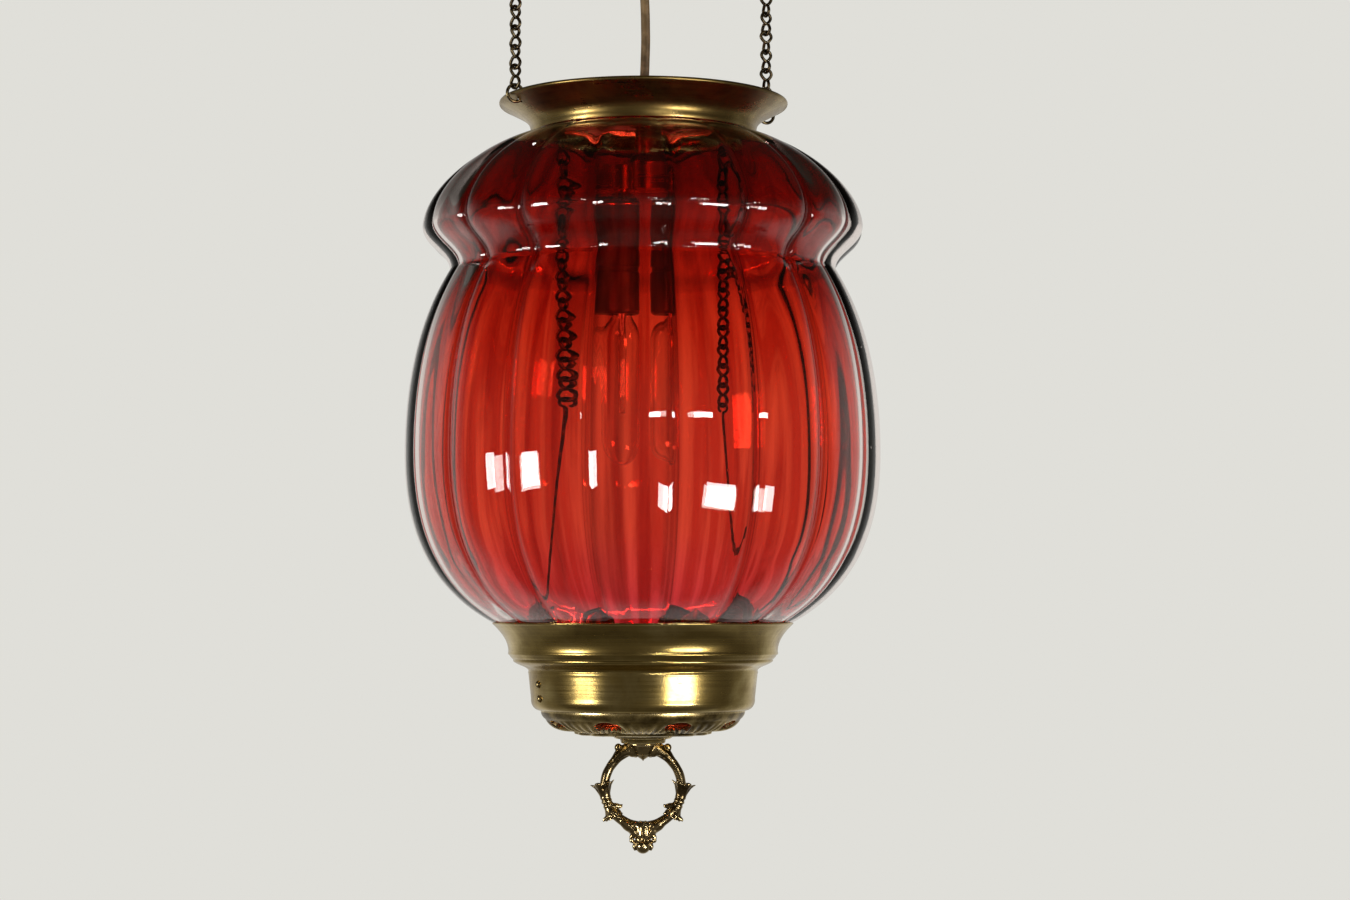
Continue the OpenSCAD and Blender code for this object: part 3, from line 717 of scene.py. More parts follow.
GLASS = ([(62, -12), (62, -17), (64, -19.5)]
         + bezier((64, -19.5), (98, -28), (127.4, -54), (128.4, -74.8), 34)
         + bezier((128.4, -74.8), (128.4, -86), (112.5, -90), (112.5, -99.5), 20)
         + bezier((112.5, -99.5), (117, -108), (138, -138), (138, -205), 34)
         + bezier((138, -205), (138, -245), (128, -284), (82, -306), 40)
         + [(76.5, -308.5), (71, -311)])
RIB_DEPTH = [(-12, 0), (-18, 0.4), (-24, 1.4), (-36, 2.8), (-60, 3.8), (-80, 4.0), (-99, 3.4),
             (-125, 3.2), (-170, 3.3), (-230, 3.3), (-270, 3.0), (-295, 2.0), (-308, 0.9), (-311, 0.5)]
WALL = [(-12, 2.6), (-24, 3.2), (-60, 4.4), (-100, 4.0), (-200, 4.4), (-270, 4.0), (-300, 3.0), (-311, 2.6)]
GROOVE_ROUND = 0.07


def rib_hollow(angle):
    """0 along the crest of a rib and 1 in the groove beside it."""
    pitch = TAU / RIBS
    across = ((angle - RIB_TURN) % pitch) / pitch
    from_groove = 1 - abs(2 * across - 1)
    eased = math.sqrt(from_groove**2 + GROOVE_ROUND**2) - GROOVE_ROUND
    u = 1 - eased
    return 0.2 * u * u + 0.8 * u**5


def shade_shape():
    """Outer wall down, then inner wall up, as one closed shell."""
    inner = offset_profile(GLASS, 1.0)
    wall = []
    for (r, z), (ri, zi) in zip(GLASS, inner):
        t = blended(WALL, z)
        wall.append((r + (ri - r) * t, z + (zi - z) * t))
    profile = GLASS + wall[::-1]
    count = len(GLASS)

    def warp(i, r, z, angle):
        outside = i < count
        depth = blended(RIB_DEPTH, GLASS[i if outside else 2 * count - 1 - i][1])
        return r - depth * rib_hollow(angle) * (1.0 if outside else 0.72), z
    return revolve(profile, RIBS * 24, warp)


shade = piece("ribbed_shade", shade_shape(), "lamp", shade_clear, ["glass_shade"], sharp=50)
shade.data.materials.append(shade_ruby)
SHADE_MIDDLE = Vector((0, 0, LIP - 0.16))
for p in shade.data.polygons:
    if p.normal.dot(p.center - SHADE_MIDDLE) < 0:
        p.material_index = 1


# ---- Crown, cup and base ----

def dented(amount, seed):
    """Warp that leaves a spun sheet a little out of round, as hand work does."""
    def warp(i, r, z, angle):
        n = noise.noise(Vector((math.cos(angle) * 1.3 + seed, math.sin(angle) * 1.3, z * 0.03)))
        return r + amount * n, z
    return warp


CROWN_OUT = ([(83.4, -2.2)]
             + bezier((83.4, -2.2), (74, -7.5), (66, -10), (66, -17), 26)
             + [(66, -18.6), (65.6, -19.4)])
crown_in = offset_profile(CROWN_OUT, 0.9)
crown_profile = CROWN_OUT[::-1] + arc(83.1, -1.2, 1.2, -70, 205, 18) + crown_in[1:]
crown = build("crown_spun", revolve(crown_profile, 256, dented(0.35, 4.0)))
holes = []
for s in (-1, 1):
    lean = Matrix.Rotation(math.radians(-30 * s), 4, "Y")
    drill = lathed([(0, -5), (1.9, -5), (1.9, 5), (0, 5)], 24)
    holes.append(moved(drill, at(s * 78.5, 0, -5) @ lean))
crown = with_holes(crown, holes, "crown_spun")
finish_piece(crown, "lamp", shaded_crown_brass, ["crown"])

CUP_OUT = ([(86.6, -304.6)]
           + bezier((86.6, -304.6), (81.5, -309.5), (78.2, -314), (77.9, -319.5), 20)
           + [(77.9, -320.4), (78.1, -321.0), (77.9, -321.7), (77.2, -322.2)]
           + bezier((77.2, -322.2), (76.4, -323.6), (75.6, -324.3), (75.0, -324.7), 6)
           + [(75.15, -325.4), (74.8, -326.0), (74.0, -326.5)]
           + bezier((74.0, -326.5), (71.5, -328.2), (68.0, -328.6), (66.4, -330.6), 12)
           + [(66.2, -331.4), (66.5, -332.0)]
           + [(66.2 - 1.5 * i / 10, -333 - 14 * i / 10) for i in range(11)]
           + bezier((64.7, -347.4), (64.9, -350.8), (62.9, -353.4), (60.2, -353.9), 12)
           + [(58.8, -354.0)])
cup_in = offset_profile(CUP_OUT, 0.9)
cup_profile = CUP_OUT[::-1] + arc(86.5, -304.0, 0.6, -50, 190, 10) + cup_in[1:]
piece("cup_spun", revolve(cup_profile, 256, dented(0.3, 9.0)), "lamp", spun, ["cup"],
      sharp=60)

BASE_OUT = ([(59.0, -352.4), (59.0, -354.6)]
            + bezier((59.0, -354.6), (58.6, -360.5), (48.5, -362.8), (39.5, -365.6), 34)
            + [(38.6, -366.4), (38.2, -367.5), (36.5, -368.0), (30, -368.1), (17.5, -368.2)]
            + [(17.0, -368.6), (16.6, -369.8), (15.8, -370.3), (13.6, -370.5), (13.1, -371.1),
               (12.9, -372.4), (12.2, -373.0), (9.0, -373.0), (3.6, -373.0)])
LOBES = 8


def leafy(i, r, z, angle):
    """Leaf-shaped lobes with fanned veins on the bowl's outside, and a wavy foot."""
    if i >= len(BASE_OUT):
        return r, z
    x, drop = BASE_OUT[i]
    bowl = x > 38.5 and drop < -354.5
    local = ((angle - BASE_TURN) / (TAU / LOBES) + 0.5) % 1 * 2 - 1
    t = min(max((x - 38.5) / 20, 0), 1)
    window = math.sin(math.pi * min(max((t - 0.02) / 0.86, 0), 1)) ** 0.7 if bowl else 0
    lobe = 1 - local * local
    fan = math.cos(math.pi * 7 * local / (0.55 + 0.45 * t))
    edge = max(0, 1 - abs(abs(local) - 0.86) / 0.14)
    out = window * (2.1 * lobe + 1.0 * fan * (0.3 + 0.7 * abs(local)) - 1.2 * edge)
    foot = 1.3 * math.cos(LOBES * 2 * (angle - BASE_TURN)) if 30 < x <= 39.5 else 0
    return r + out * 0.55 + foot, z - out * 0.8


base_in = offset_profile(BASE_OUT[1:40], 1.5)
base_profile = BASE_OUT + [(3.6, -366.6), (30, -366.6)] + base_in[::-1]
base = build("leafy_base", revolve(base_profile, 64 * LOBES, leafy))
ovals = []
for i in range(LOBES):
    a = BASE_TURN + (i + 0.5) * TAU / LOBES
    hole = lathed([(0, -7), (1, -7), (1, 7), (0, 7)], 32)
    shape = turned(a) @ at(51.0, 0, -361.4) @ Matrix.Rotation(math.radians(-30), 4, "Y")
    wide = Matrix.Diagonal((5.6, 8.0, 1, 1))
    ovals.append(moved(hole, shape @ wide))
base = with_holes(base, ovals, "leafy_base")
finish_piece(base, "lamp", base_brass, ["pierced_base"], 50)

RIVET_DROPS = (-338.4, -346.5)
RIVET = ([(0, 1.45)] + arc(0, -0.9, 2.35, 80, 22, 8)
         + [(2.45, 0), (2.45, -0.15), (1.4, -0.15), (1.4, -3.6), (2.3, -3.6), (2.1, -4.4), (0, -4.6)])
rivet_shapes = []
for s in (0, 1):
    for drop in RIVET_DROPS:
        face = 66.3 + 1.6 * (drop + 331.5) / 16
        place = turned(s * math.pi) @ at(face + 0.3, 0, drop) @ Matrix.Rotation(math.pi / 2, 4, "Y")
        rivet_shapes.append(moved(lathed(RIVET, 32), place))
piece("rivet_heads", merged(rivet_shapes), "lamp", rivet_brass, ["bracket_rivets"])


# ---- Pull ring ----

RING_DROP = -398.5
RING_RADIUS = 22.3
RING_ROD = 2.55


def on_ring(angle, radius=RING_RADIUS):
    """Placement on the rod: local Z runs up along it, local X points outward."""
    a = math.radians(angle)
    return at(radius * math.cos(a), 0, radius * math.sin(a)) @ Matrix.Rotation(-a, 4, "Y")


def tulip(length, mouth, petals, tip):
    """Flower cup that opens upward, with flared petal tips and a hollow mouth."""
    outer = [(0, 0), (2.9, 0), (3.3, 0.8), (3.1, 1.6), (3.3, 2.8), (3.9, 4.4), (4.7, 5.9),
             (mouth * 0.88, length - 0.9), (mouth, length)]
    inner = [(mouth - 0.9, length + 0.1), (3.8, length - 1.8), (2.6, length - 2.6), (0, length - 2.8)]
    profile = outer + inner
    flare = len(outer) - 3

    def warp(i, r, z, angle):
        wave = abs(math.cos(angle * petals / 2))
        near = max(0, min(1, (z - 2.5) / (length - 2.5)))
        if flare <= i < len(outer) + 1:
            return r * (0.80 + 0.26 * wave), z + tip * wave
        return r * (1 - 0.07 * near * (1 - wave)), z
    return lathed(profile, 60, warp)


def leaf(points, widths, thick, side=(0, 1, 0)):
    """Tapered leaf along points, with a raised midrib."""
    path = smooth_path(points, 5)
    count = len(path) - 1

    def section(i):
        t = i / count
        w = blended([(k / (len(widths) - 1), v) for k, v in enumerate(widths)], t)
        h = thick * (0.35 + 0.65 * w / max(widths))
        out = []
        for k in range(14):
            a = TAU * k / 14
            rib = 0.28 * thick * math.exp(-(math.cos(a) * 3.2) ** 2) * (1 if math.sin(a) > 0 else -1)
            out.append((w * math.cos(a), h * math.sin(a) + rib))
        return out
    return sweep(path, section, side=side)


def curl(points, start, end, side=(0, 1, 0)):
    """Round scroll that tapers from one radius to another."""
    path = smooth_path(points, 5)
    count = len(path) - 1
    return sweep(path, round_section(lambda i: start + (end - start) * i / count, 12), side=side)


ROD_ROWS = 120
BEAD_ANGLE = -20.5


def rod_section(i):
    """Slightly keeled section of the ring's rod, fuller below and thinner beside the bead collars."""
    a = TAU * i / ROD_ROWS
    r = RING_ROD * (1.0 + 0.07 * max(0, -math.sin(a)) + 0.05 * math.cos(9 * a) ** 2)
    r *= 1 - 0.28 * math.exp(-((math.degrees(math.asin(math.sin(a))) - BEAD_ANGLE) / 4.5) ** 2)
    return [(r * math.cos(TAU * k / 16) * (1 + 0.05 * math.cos(TAU * k / 4)),
             r * 1.02 * math.sin(TAU * k / 16)) for k in range(16)]


rod_path = [(RING_RADIUS * math.cos(TAU * k / ROD_ROWS), 0, RING_RADIUS * math.sin(TAU * k / ROD_ROWS))
            for k in range(ROD_ROWS)]
ring_shapes = [sweep(rod_path, rod_section, closed=True, side=(0, 1, 0))]
# Upper cup, bead collars and the lower cup with its leaf tips
half = [
    moved(tulip(8.6, 6.9, 6, 1.1), on_ring(-13.0) @ at(0, 0, -1.5)),
    moved(ball((0, 0, 0), 3.1, (1, 1, 0.3)), on_ring(-15.6)),
    moved(ball((0, 0, 0), 3.3, (1, 1, 0.55)), on_ring(BEAD_ANGLE)),
    moved(ball((0, 0, 0), 3.1, (1, 1, 0.3)), on_ring(-25.4)),
    moved(tulip(8.2, 5.3, 6, 0.8), on_ring(-27) @ Matrix.Rotation(math.pi, 4, "X") @ at(0, 0, -1.0))]
for y in (-1.6, 1.6):
    half += [leaf([(18.2, y, -10.5), (15.6, y, -10.6), (13.0, y * 0.8, -10.6), (11.9, y * 0.5, -9.6)],
                  [1.9, 1.8, 1.2, 0.35], 1.0),
             leaf([(18.6, y, -15.2), (20.4, y, -17.2), (22.2, y * 0.8, -18.4), (22.9, y * 0.5, -19.4)],
                  [1.9, 1.7, 1.1, 0.35], 1.0)]
# Arms of the top mount: leaf along the rod, scroll that ends in a ball
half.append(leaf([(3, 0, 21.5), (8, 0, 22.0), (13.2, 0, 19.2), (17.2, 0, 15.6)], [4.6, 4.2, 3.4, 2.0], 3.6))
for s in (-1, 1):
    half.append(leaf([(5, s * 2.2, 20.5), (9.6, s * 2.6, 20.6), (13.6, s * 2.3, 18.0),
                      (16.4, s * 2.0, 14.6)], [2.4, 2.2, 1.6, 0.4], 1.3))
half += [curl([(9.4, 0, 20.6), (12.6, 0, 20.8), (14.0, 0, 22.4)], 2.6, 1.3),
         ball((14.2, 0, 23.0), 2.4),
         curl([(7.2, 0, 24.6), (9.2, 0, 23.6), (10.8, 0, 21.8)], 1.5, 1.2)]
# Foliage hanging from the mount into the opening
for reach, drop, width, y in ((7.0, 19.4, 2.6, 1.7), (3.8, 18.0, 2.8, 2.2), (0.0, 15.6, 2.0, 2.7)):
    for s in (-1, 1):
        half.append(leaf([(reach * 0.55, s * 1.2, 24.8), (reach * 0.85, s * y, 22.0),
                          (reach, s * y, 19.0), (reach * 1.02, s * 0.8, drop)],
                         [1.0, width, width * 0.9, 0.5], 1.1))
# Scroll pairs on the bottom pendant
half.append(leaf([(12.6, 0, -18.6), (8.6, 0, -21.4), (5.6, 0, -24.4), (3.4, 0, -28.4)],
                 [2.6, 3.6, 3.0, 1.6], 3.2))
for s in (-1, 1):
    half += [curl([(3.8, s * 1.6, -20.4), (7.0, s * 2.0, -22.2), (6.6, s * 2.0, -25.4),
                   (4.2, s * 2.2, -26.0)], 1.5, 1.0),
             leaf([(1.2, s * 2.4, -19.2), (2.0, s * 3.1, -23.0), (2.0, s * 3.0, -27.0),
                   (1.2, s * 2.2, -30.6)], [0.8, 1.5, 1.4, 0.4], 1.0)]
half += [curl([(4.2, 0, -27.0), (6.4, 0, -28.2), (6.6, 0, -30.0)], 1.9, 1.1),
         ball((6.5, 0, -30.4), 1.45),
         leaf([(2.4, 0, -29.2), (3.4, 0, -31.4), (4.9, 0, -33.6), (4.6, 0, -36.2)],
              [1.6, 1.7, 1.3, 0.5], 1.5)]
for shape in half:
    ring_shapes += [shape, moved(shape, Matrix.Diagonal((-1, 1, 1, 1)))]
# Body of the mount with its cusp, then the pendant's core, ball and tip
ring_shapes += [
    lathed([(0, 25.6), (9.2, 25.6), (9.6, 24.6), (7.6, 23.6), (6.6, 21.6), (5.2, 19.2),
            (2.6, 17.2), (0, 15.6)], 40),
    moved(lathed([(0, -19.0), (4.6, -19.6), (5.4, -22.0), (4.2, -25.0), (3.4, -28.0),
                  (3.1, -31.0), (0, -32.0)], 32), Matrix.Diagonal((1.15, 0.8, 1, 1))),
    ball((0, 0, -33.6), 4.35),
    curl([(0, 0, -36.4), (0, 0, -37.4)], 2.2, 1.1)]


def oriented(shapes):
    """Shapes with every shell's faces turned outward, so that they fuse cleanly."""
    out = []
    for verts, faces in shapes:
        mesh = bpy.data.meshes.new("part")
        mesh.from_pydata(verts, [], faces)
        bm = bmesh.new()
        bm.from_mesh(mesh)
        bmesh.ops.remove_doubles(bm, verts=bm.verts, dist=1e-5)
        bmesh.ops.recalc_face_normals(bm, faces=bm.faces)
        out.append(([tuple(v.co) for v in bm.verts], [tuple(v.index for v in f.verts) for f in bm.faces]))
        bm.free()
        bpy.data.meshes.remove(mesh)
    return out


ring_place = turned(RING_TURN) @ at(0, 0, RING_DROP)
pull = build("pull_ring_raw", merged(oriented([moved(shape, ring_place) for shape in ring_shapes])))
pull = fused(pull, "pull_ring_cast", 0.32, 3, 0.6)
finish_piece(pull, "pull", ring_brass, ["pull_ring"], 0)

stem_top = (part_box("pull_stem")[1].z - LIP) / MM
stem_low = (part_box("pull_stem")[0].z - LIP) / MM
piece("pull_stem_turned",
      lathed([(0, stem_top), (2.4, stem_top), (3.0, stem_top - 0.7), (3.0, stem_low + 0.1),
              (0, stem_low)], 40),
      "pull", ring_brass, ["pull_stem"])


# ---- Gallery and hanger wires ----

GALLERY_R = 68.1


def gallery_leaf(middle, tip):
    """Curved sheet leaf on the gallery's band, lobed at its sides."""
    verts, faces = [], []
    across, up = 18, 14
    for j in range(up + 1):
        v = j / up
        width = 15.5 * (1 - v) ** 0.75 + 0.4
        width *= 1 + 0.16 * math.sin(v * 3.4 * math.pi)
        z = -312.5 + (tip + 312.5) * v
        for i in range(across + 1):
            u = i / across * 2 - 1
            droop = 1.2 * abs(u) ** 1.5 * math.sin(v * 2.6 * math.pi)
            r = GALLERY_R + 1.4 * v * v + 0.5 * math.cos(u * 9) * v * (1 - v)
            a = middle + u * width / GALLERY_R
            verts.append((r * math.cos(a), r * math.sin(a), z - droop * v))
    for j in range(up):
        for i in range(across):
            k = j * (across + 1) + i
            faces.append((k, k + 1, k + across + 2, k + across + 1))
    return verts, faces


leaves = [gallery_leaf(i * TAU / 8, -287 if i % 4 == 0 else -294) for i in range(8)]
sheets = build("gallery_raw", merged(leaves))
thick = sheets.modifiers.new("thick", "SOLIDIFY")
thick.thickness = 0.8 * MM
thick.offset = 0
sheets = applied(sheets, "gallery_leaves")
finish_piece(sheets, "lamp", gallery_metal, (), 50)
band = [(67.7, -321), (76.3, -321), (76.4, -320.6), (76.2, -320.2), (69.2, -320.2), (68.6, -319.6),
        (68.5, -311.6), (68.7, -310.6), (68.3, -310.1), (67.8, -310.4)]
piece("gallery_band", revolve(band, 160), "lamp", gallery_metal, ["glass_gallery"])

HOOK_WIRE = 0.7
for name, s in (("left", -1), ("right", 1)):
    lo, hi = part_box(f"hanger_wire_{name}")
    top = (hi.z - LIP) / MM - 2.6 - HOOK_WIRE
    points = [(52 + 2.6 * math.sin(math.radians(a)), 0.35 * math.cos(math.radians(a / 2)),
               top - 2.6 * math.cos(math.radians(a))) for a in range(330, 20, -20)]
    points += [(52.1, -0.2, top - 3.4), (52.6, 0, top - 14), (56.2, 0, (top - 291) / 2),
               (59.9, 0, -285.5)]
    points += [(60.3 + 4 * math.sin(math.radians(a)), 0, -293.8 + 4 * math.cos(math.radians(a)))
               for a in range(0, 300, 20)]
    wire = sweep(smooth_path(points, 3), round_section(HOOK_WIRE, 10), side=(0, 1, 0))
    piece(f"hook_wire_{name}", moved(wire, turned(0 if s > 0 else math.pi)), "lamp",
          inner_bronze, [f"hanger_wire_{name}"])

eye_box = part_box("inner_eyes")
eye_drop = (eye_box[0].z - LIP) / MM + 3 + 0.9
eyes = []
for s in (0, 1):
    shank = lathed([(0, eye_drop + 2.8), (1.5, eye_drop + 2.8), (1.5, -4.8), (1.1, -4.4), (0, -4.4)], 20)
    loop = split_ring((0, 0, eye_drop), 3, 0.9, "X", 90, 2)
    eyes.append(moved(merged([shank, loop]), turned(s * math.pi) @ at(52, 0, 0)))
piece("inner_eye_screws", merged(eyes), "lamp", inner_bronze, ["inner_eyes"])


# ---- Sockets and bulbs ----

def ribbed(count, depth, low, high):
    """Warp that flutes a turned piece between two heights."""
    def warp(i, r, z, angle):
        if low < z < high and r > 8:
            return r - depth * (0.5 + 0.5 * math.cos(count * angle)), z
        return r, z
    return warp


CAP = [(3.6, -50), (5.2, -50.05), (6.8, -50.7), (8.1, -52.0), (9.0, -54.0), (9.35, -56.6), (9.4, -61.0),
       (9.75, -61.5), (9.75, -62.3), (9.45, -62.8), (9.5, -64.0), (8.9, -64.0), (8.85, -56.4),
       (8.3, -54.2), (7.2, -52.4), (5.6, -51.2), (3.6, -51.0)]
BODY = [(1.5, -58.3), (8.6, -58.3), (8.75, -64.1), (9.4, -64.5), (9.4, -84.5), (9.0, -85.0), (9.0, -86.4),
        (9.4, -86.9), (9.4, -96.5), (8.9, -97.2), (8.9, -99.8), (9.4, -100.5), (9.4, -122.6),
        (9.1, -124.2), (8.4, -125.0), (7.2, -125.0), (6.6, -124.4), (6.6, -98.2), (1.5, -98.0)]
BULB = ([(5.2, -120.5), (5.2, -124.5)]
        + bezier((5.2, -124.5), (5.6, -129.5), (9.5, -130.5), (9.5, -140.5), 14)
        + [(9.5, -198)] + bezier((9.5, -198), (9.5, -207), (5, -212), (0.05, -212), 16))
BULB_IN = ([(4.5, -120.5), (4.5, -124.8)]
           + bezier((4.5, -124.8), (4.9, -130), (8.9, -131), (8.9, -140.5), 14)
           + [(8.9, -198)] + bezier((8.9, -198), (8.9, -206.4), (4.8, -211.3), (0.05, -211.3), 16))
THREAD_LOW, THREAD_HIGH, THREAD_TURNS = -120.4, -104.2, 4.5


def thread(i, r, z, angle):
    """Rolled screw thread."""
    if THREAD_LOW < z < THREAD_HIGH and r > 4.6:
        turn = (z - THREAD_LOW) / (THREAD_HIGH - THREAD_LOW) * THREAD_TURNS
        return r + 0.38 * math.cos(TAU * turn - angle), z
    return r, z


SCREW = ([(0, -120.45), (5.0, -120.45)] + [(5.5, -120.2 + 0.4 * k) for k in range(40)]
         + [(5.2, -104.1), (4.4, -104.05), (0, -104.05)])
MOUNT = [(0, -121), (2.6, -121), (2.2, -126), (1.3, -131), (1.5, -134.5), (0.9, -137), (0, -137.2)]
COIL = [(1.1 * math.cos(k * 0.9), 0.45 * math.sin(k * 0.9), -150 - 0.62 * k) for k in range(52)]
for name, s in (("left", -1), ("right", 1)):
    spot = turned(SOCKET_TURN) @ at(s * 12, 0, 0)
    piece(f"socket_cap_domed_{name}", moved(revolve(CAP, 64), spot), "lamp", bright_brass,
          [f"socket_cap_{name}"], sharp=35)
    piece(f"socket_body_turned_{name}", moved(revolve(BODY, 96, ribbed(24, 0.35, -122, -101)), spot),
          "lamp", phenolic, [f"socket_body_{name}"], sharp=35)
    body = f"bulb_{name}"
    piece(f"bulb_envelope_{name}", moved(revolve(BULB + BULB_IN[::-1], 64), spot), body,
          bulb_clear, [f"bulb_glass_{name}"], sharp=60)
    piece(f"bulb_screw_{name}", moved(lathed(SCREW, 64, thread), spot), body,
          bright_brass, [f"bulb_base_{name}"])
    leads = [sweep(smooth_path([(x, 0, -130), (x * 1.3, 0, -146), (x, 0, -182)], 4),
                   round_section(0.22, 8), side=(0, 1, 0)) for x in (-1.5, 1.5)]
    bridge = sweep([(-1.6, 0, -182), (1.6, 0, -182)], round_section(0.3, 8), side=(0, 1, 0))
    glow = sweep(smooth_path(COIL, 3), round_section(0.12, 6), side=(0, 1, 0))
    piece(f"filament_mount_{name}", moved(merged([lathed(MOUNT, 24), bridge, glow] + leads), spot), body,
          filament_metal, [f"filament_{name}"])


# ---- Ceiling fittings ----

CANOPY = ([(11.2, -22), (60, -22), (84.5, -22)] + arc(86.5, -19.2, 2.8, -95, -20, 6)
          + bezier((89.3, -18.4), (90.6, -16.2), (94.6, -16.6), (95.4, -12.6), 8)
          + bezier((95.4, -12.6), (96.4, -8.4), (97.2, -6.0), (98.6, -4.2), 8)
          + [(99.6, -3.2), (100, -1.8), (100, 0)])
canopy_in = [(98.9, 0), (98.9, -1.8), (97.2, -4.2), (94.4, -12.2), (88.6, -17.6), (85.6, -21), (60, -21),
             (5.15, -21), (5.15, -22)]
canopy = build("canopy_spun", revolve(CANOPY + canopy_in, 192), lamp=False)
drills = []
for x, y in ((CHAIN_X, 0), (-CHAIN_X, 0), (0, 62), (0, -62)):
    drills.append(moved(lathed([(0, -26), (2.15, -26), (2.15, -16), (0, -16)], 24), at(x, y, -LIP / MM)))
canopy = with_holes(canopy, drills, "canopy_spun")
finish_piece(canopy, "ceiling", canopy_brass, ["ceiling_canopy"], 35)


def knurl(i, r, z, angle):
    """Knurled rim of a thumb nut."""
    if -29.2 < z < -26.2 and r > 4:
        return r + 0.22 * math.cos(24 * angle), z
    return r, z


KNOB = [(0, -22.1), (5.5, -22.1), (5.6, -23.2), (4.8, -23.8), (3.7, -24.3), (3.6, -25.2), (4.6, -25.9),
        (5.3, -26.4), (5.3, -29.0), (4.9, -29.6), (3.4, -30.4), (1.6, -30.75), (0, -30.8)]
piece("canopy_thumb_nuts",
      merged([moved(lathed(KNOB, 96, knurl), at(0, y, 0)) for y in (-62, 62)]),
      "ceiling", bright_brass, ["canopy_knobs"], lamp=False, sharp=35)

EYE_RADIUS, EYE_WIRE = 4.2, 1.2
eye_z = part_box("ceiling_eyes")[0].z / MM + EYE_RADIUS + EYE_WIRE
EYE_SHANK = [(0, -26.4), (2.2, -26.2), (3.0, -25.4), (3.5, -24.9), (3.5, -22.3), (3.2, -22.05),
             (2.0, -22.05), (2.0, -15.4), (1.6, -15.0), (0, -15.0)]
eye_parts = []
for s in (-1, 1):
    eye_parts += [moved(lathed(EYE_SHANK, 32), at(s * CHAIN_X, 0, 0)),
                  split_ring((s * CHAIN_X, 0, eye_z), EYE_RADIUS, EYE_WIRE, "Y", 90, 1)]
piece("ceiling_eye_screws", merged(eye_parts), "ceiling", chain_bronze, ["ceiling_eyes"],
      lamp=False)
BUSH = [(3.05, -32), (7.0, -32), (7.0, -35.4), (7.6, -36.0), (8.2, -35.6), (8.5, -34.6), (8.5, -23.2),
        (8.2, -22.2), (5.0, -22.1), (5.0, -17.0), (3.05, -17.0)]
piece("canopy_strain_bushing", revolve(BUSH, 64), "ceiling", bushing_plastic,
      ["canopy_bushing"], lamp=False, sharp=35)
RIM = [(3.05, -3.4), (5.0, -3.4), (5.0, 1.2), (5.5, 1.9), (6.2, 1.9), (6.6, 1.2), (7.4, -3.6),
       (7.5, -4.5), (3.05, -4.5)]
piece("crown_rim_bushing", revolve(RIM, 64), "lamp", bushing_plastic, ["crown_bushing"],
      sharp=35)


def ridged(i, r, z, angle):
    """Finger ridges of a wire nut."""
    return (r * (1 - 0.05 * math.cos(12 * angle)) if 0.3 < z < 15 else r), z


NUT = [(0, 0), (5.3, 0), (5.6, 0.6), (5.2, 5), (4.4, 11), (3.9, 14.6), (3.0, 15.8), (0, 16)]
nuts = []
for s in (-1, 1):
    turn = Matrix.Rotation(-s * math.pi / 2, 4, "X")
    nuts.append(moved(lathed(NUT, 48, ridged), at(0, s * 30.2, -11.5) @ turn))
piece("wire_nuts_ribbed", merged(nuts), "ceiling", nut_plastic, ["wire_connectors"],
      lamp=False)


# ---- Carried-over CAD nodes ----

CAD_LOOKS = (
    (zinc, "mounting_bar", "canopy_studs", "eye_nuts"),
    (cord_plastic, "canopy_lead", "inner_lead"),
    (canopy_brass, "crown_strap", "cluster_hub"),
    (bright_brass, "stem_tube", "stem_locknuts", "inner_eye_nuts", "screw_shell_left",
     "screw_shell_right", "centre_contact_left", "centre_contact_right"),
    (gallery_metal, "hanger_brackets"),
    (nut_steel, "base_washer", "pull_nut"),
    (phenolic, "bulb_tip_left", "bulb_tip_right"))
for look_of, name in ((row[0], name) for row in CAD_LOOKS for name in row[1:]):
    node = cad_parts[name]
    node.data.materials.clear()
    node.data.materials.append(look_of)
    edge = node.modifiers.new("edge", "BEVEL")
    edge.width = 0.12 * MM
    edge.segments = 2
    edge.limit_method = "ANGLE"
    edge.angle_limit = math.radians(40)


# ---- Room and light ----

WALL_COLOUR = (0.745, 0.737, 0.695)
g = Graph("studio", world=True)
SCENE.world = g.owner
direction = g.add("TexCoord").outputs["Generated"]
ahead = g.node("VectorMath", {0: direction, 1: tuple(FORWARD)}, operation="DOT_PRODUCT").outputs["Value"]
rays = g.add("LightPath").outputs
through = rays["Is Transmission Ray"]
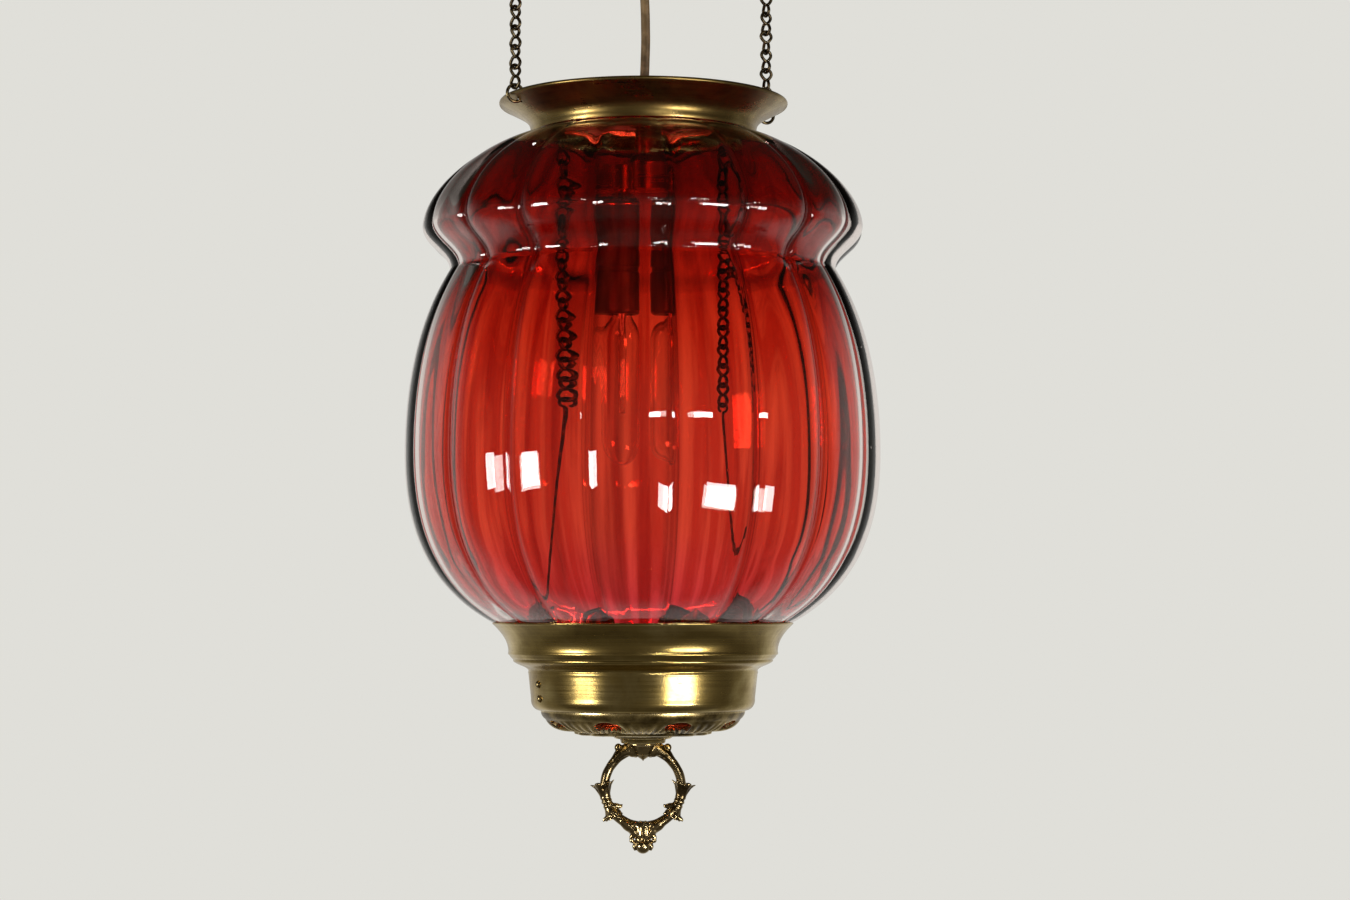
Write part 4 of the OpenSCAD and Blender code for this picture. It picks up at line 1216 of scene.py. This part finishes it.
# Mirror-like rays meet a dark room in front and a dim wall behind, paler straight ahead. Rays through
# glass meet warmer, lighter levels of both. All other rays meet the pale wall.
wall = g.mixed(g.span(ahead, 0.50, 0.88), (0.24, 0.235, 0.22), (0.62, 0.61, 0.58))
wall = g.mixed(through, wall, WALL_COLOUR)
front = g.mixed(through, (0.088, 0.080, 0.066), (0.25, 0.095, 0.072))
room = g.mixed(g.span(ahead, 0.05, 0.42), front, wall)
room = g.mixed(g.span(g.split(direction)[2], 0.08, 0.5), room, (0.020, 0.016, 0.012))
pale = g.shader("Background", Color=WALL_COLOUR)
g.show(g.either(rays["Is Glossy Ray"], pale, g.shader("Background", Color=room)))


def panel(name, angle, elevation, distance, width, tall, power, colour):
    """Soft light that faces the lamp. The angle runs right of the camera, from the lamp."""
    target = Vector((0, 0, LIP - 0.2))
    level_way = -FORWARD * math.cos(math.radians(angle)) + RIGHTWARD * math.sin(math.radians(angle))
    way = level_way * math.cos(math.radians(elevation)) + Vector((0, 0, math.sin(math.radians(elevation))))
    data = bpy.data.lights.new(name, "AREA")
    data.shape = "RECTANGLE"
    data.size, data.size_y = width, tall
    data.energy = power
    data.color = colour
    light = bpy.data.objects.new(name, data)
    SCENE.collection.objects.link(light)
    light.location = target + way * distance
    light.rotation_euler = (-way).to_track_quat("-Z", "Y").to_euler()
    light.visible_camera = False


DAYLIGHT = (1.0, 0.98, 0.96)
TUBE = (1.0, 0.99, 0.97)
panel("window_left", -60, -5.5, 2.6, 0.86, 0.52, 30, DAYLIGHT)
panel("window_right", 39, -17, 2.6, 1.1, 0.5, 34, DAYLIGHT)
panel("tube_over", 180, 62, 2.4, 1.3, 0.10, 18, TUBE)
panel("tube_behind", 172, 50, 2.6, 0.55, 0.09, 8, TUBE)
panel("tube_front", 20, 8.5, 3.0, 1.1, 0.06, 7, TUBE)

# Pale floor, well under the lamp
FLOOR_Z = LIP - 1.5
FLOOR_RADIUS = 9000
rim = [(FLOOR_RADIUS * math.cos(TAU * k / 96), FLOOR_RADIUS * math.sin(TAU * k / 96), FLOOR_Z / MM)
       for k in range(96)]
floor = build("floor", (rim, [tuple(range(96))]), lamp=False)
g = Graph("pale_floor")
cloud = g.noise(g.coords(), 1.2, 3, 0.5)
floor.data.materials.append(
    g.surface(Base_Color=g.mixed(cloud, (0.70, 0.69, 0.65), (0.76, 0.75, 0.71)), Roughness=0.8))
floor.visible_glossy = False
floor.visible_transmission = False

SCENE.view_settings.view_transform = "Standard"
SCENE.view_settings.look = "None"
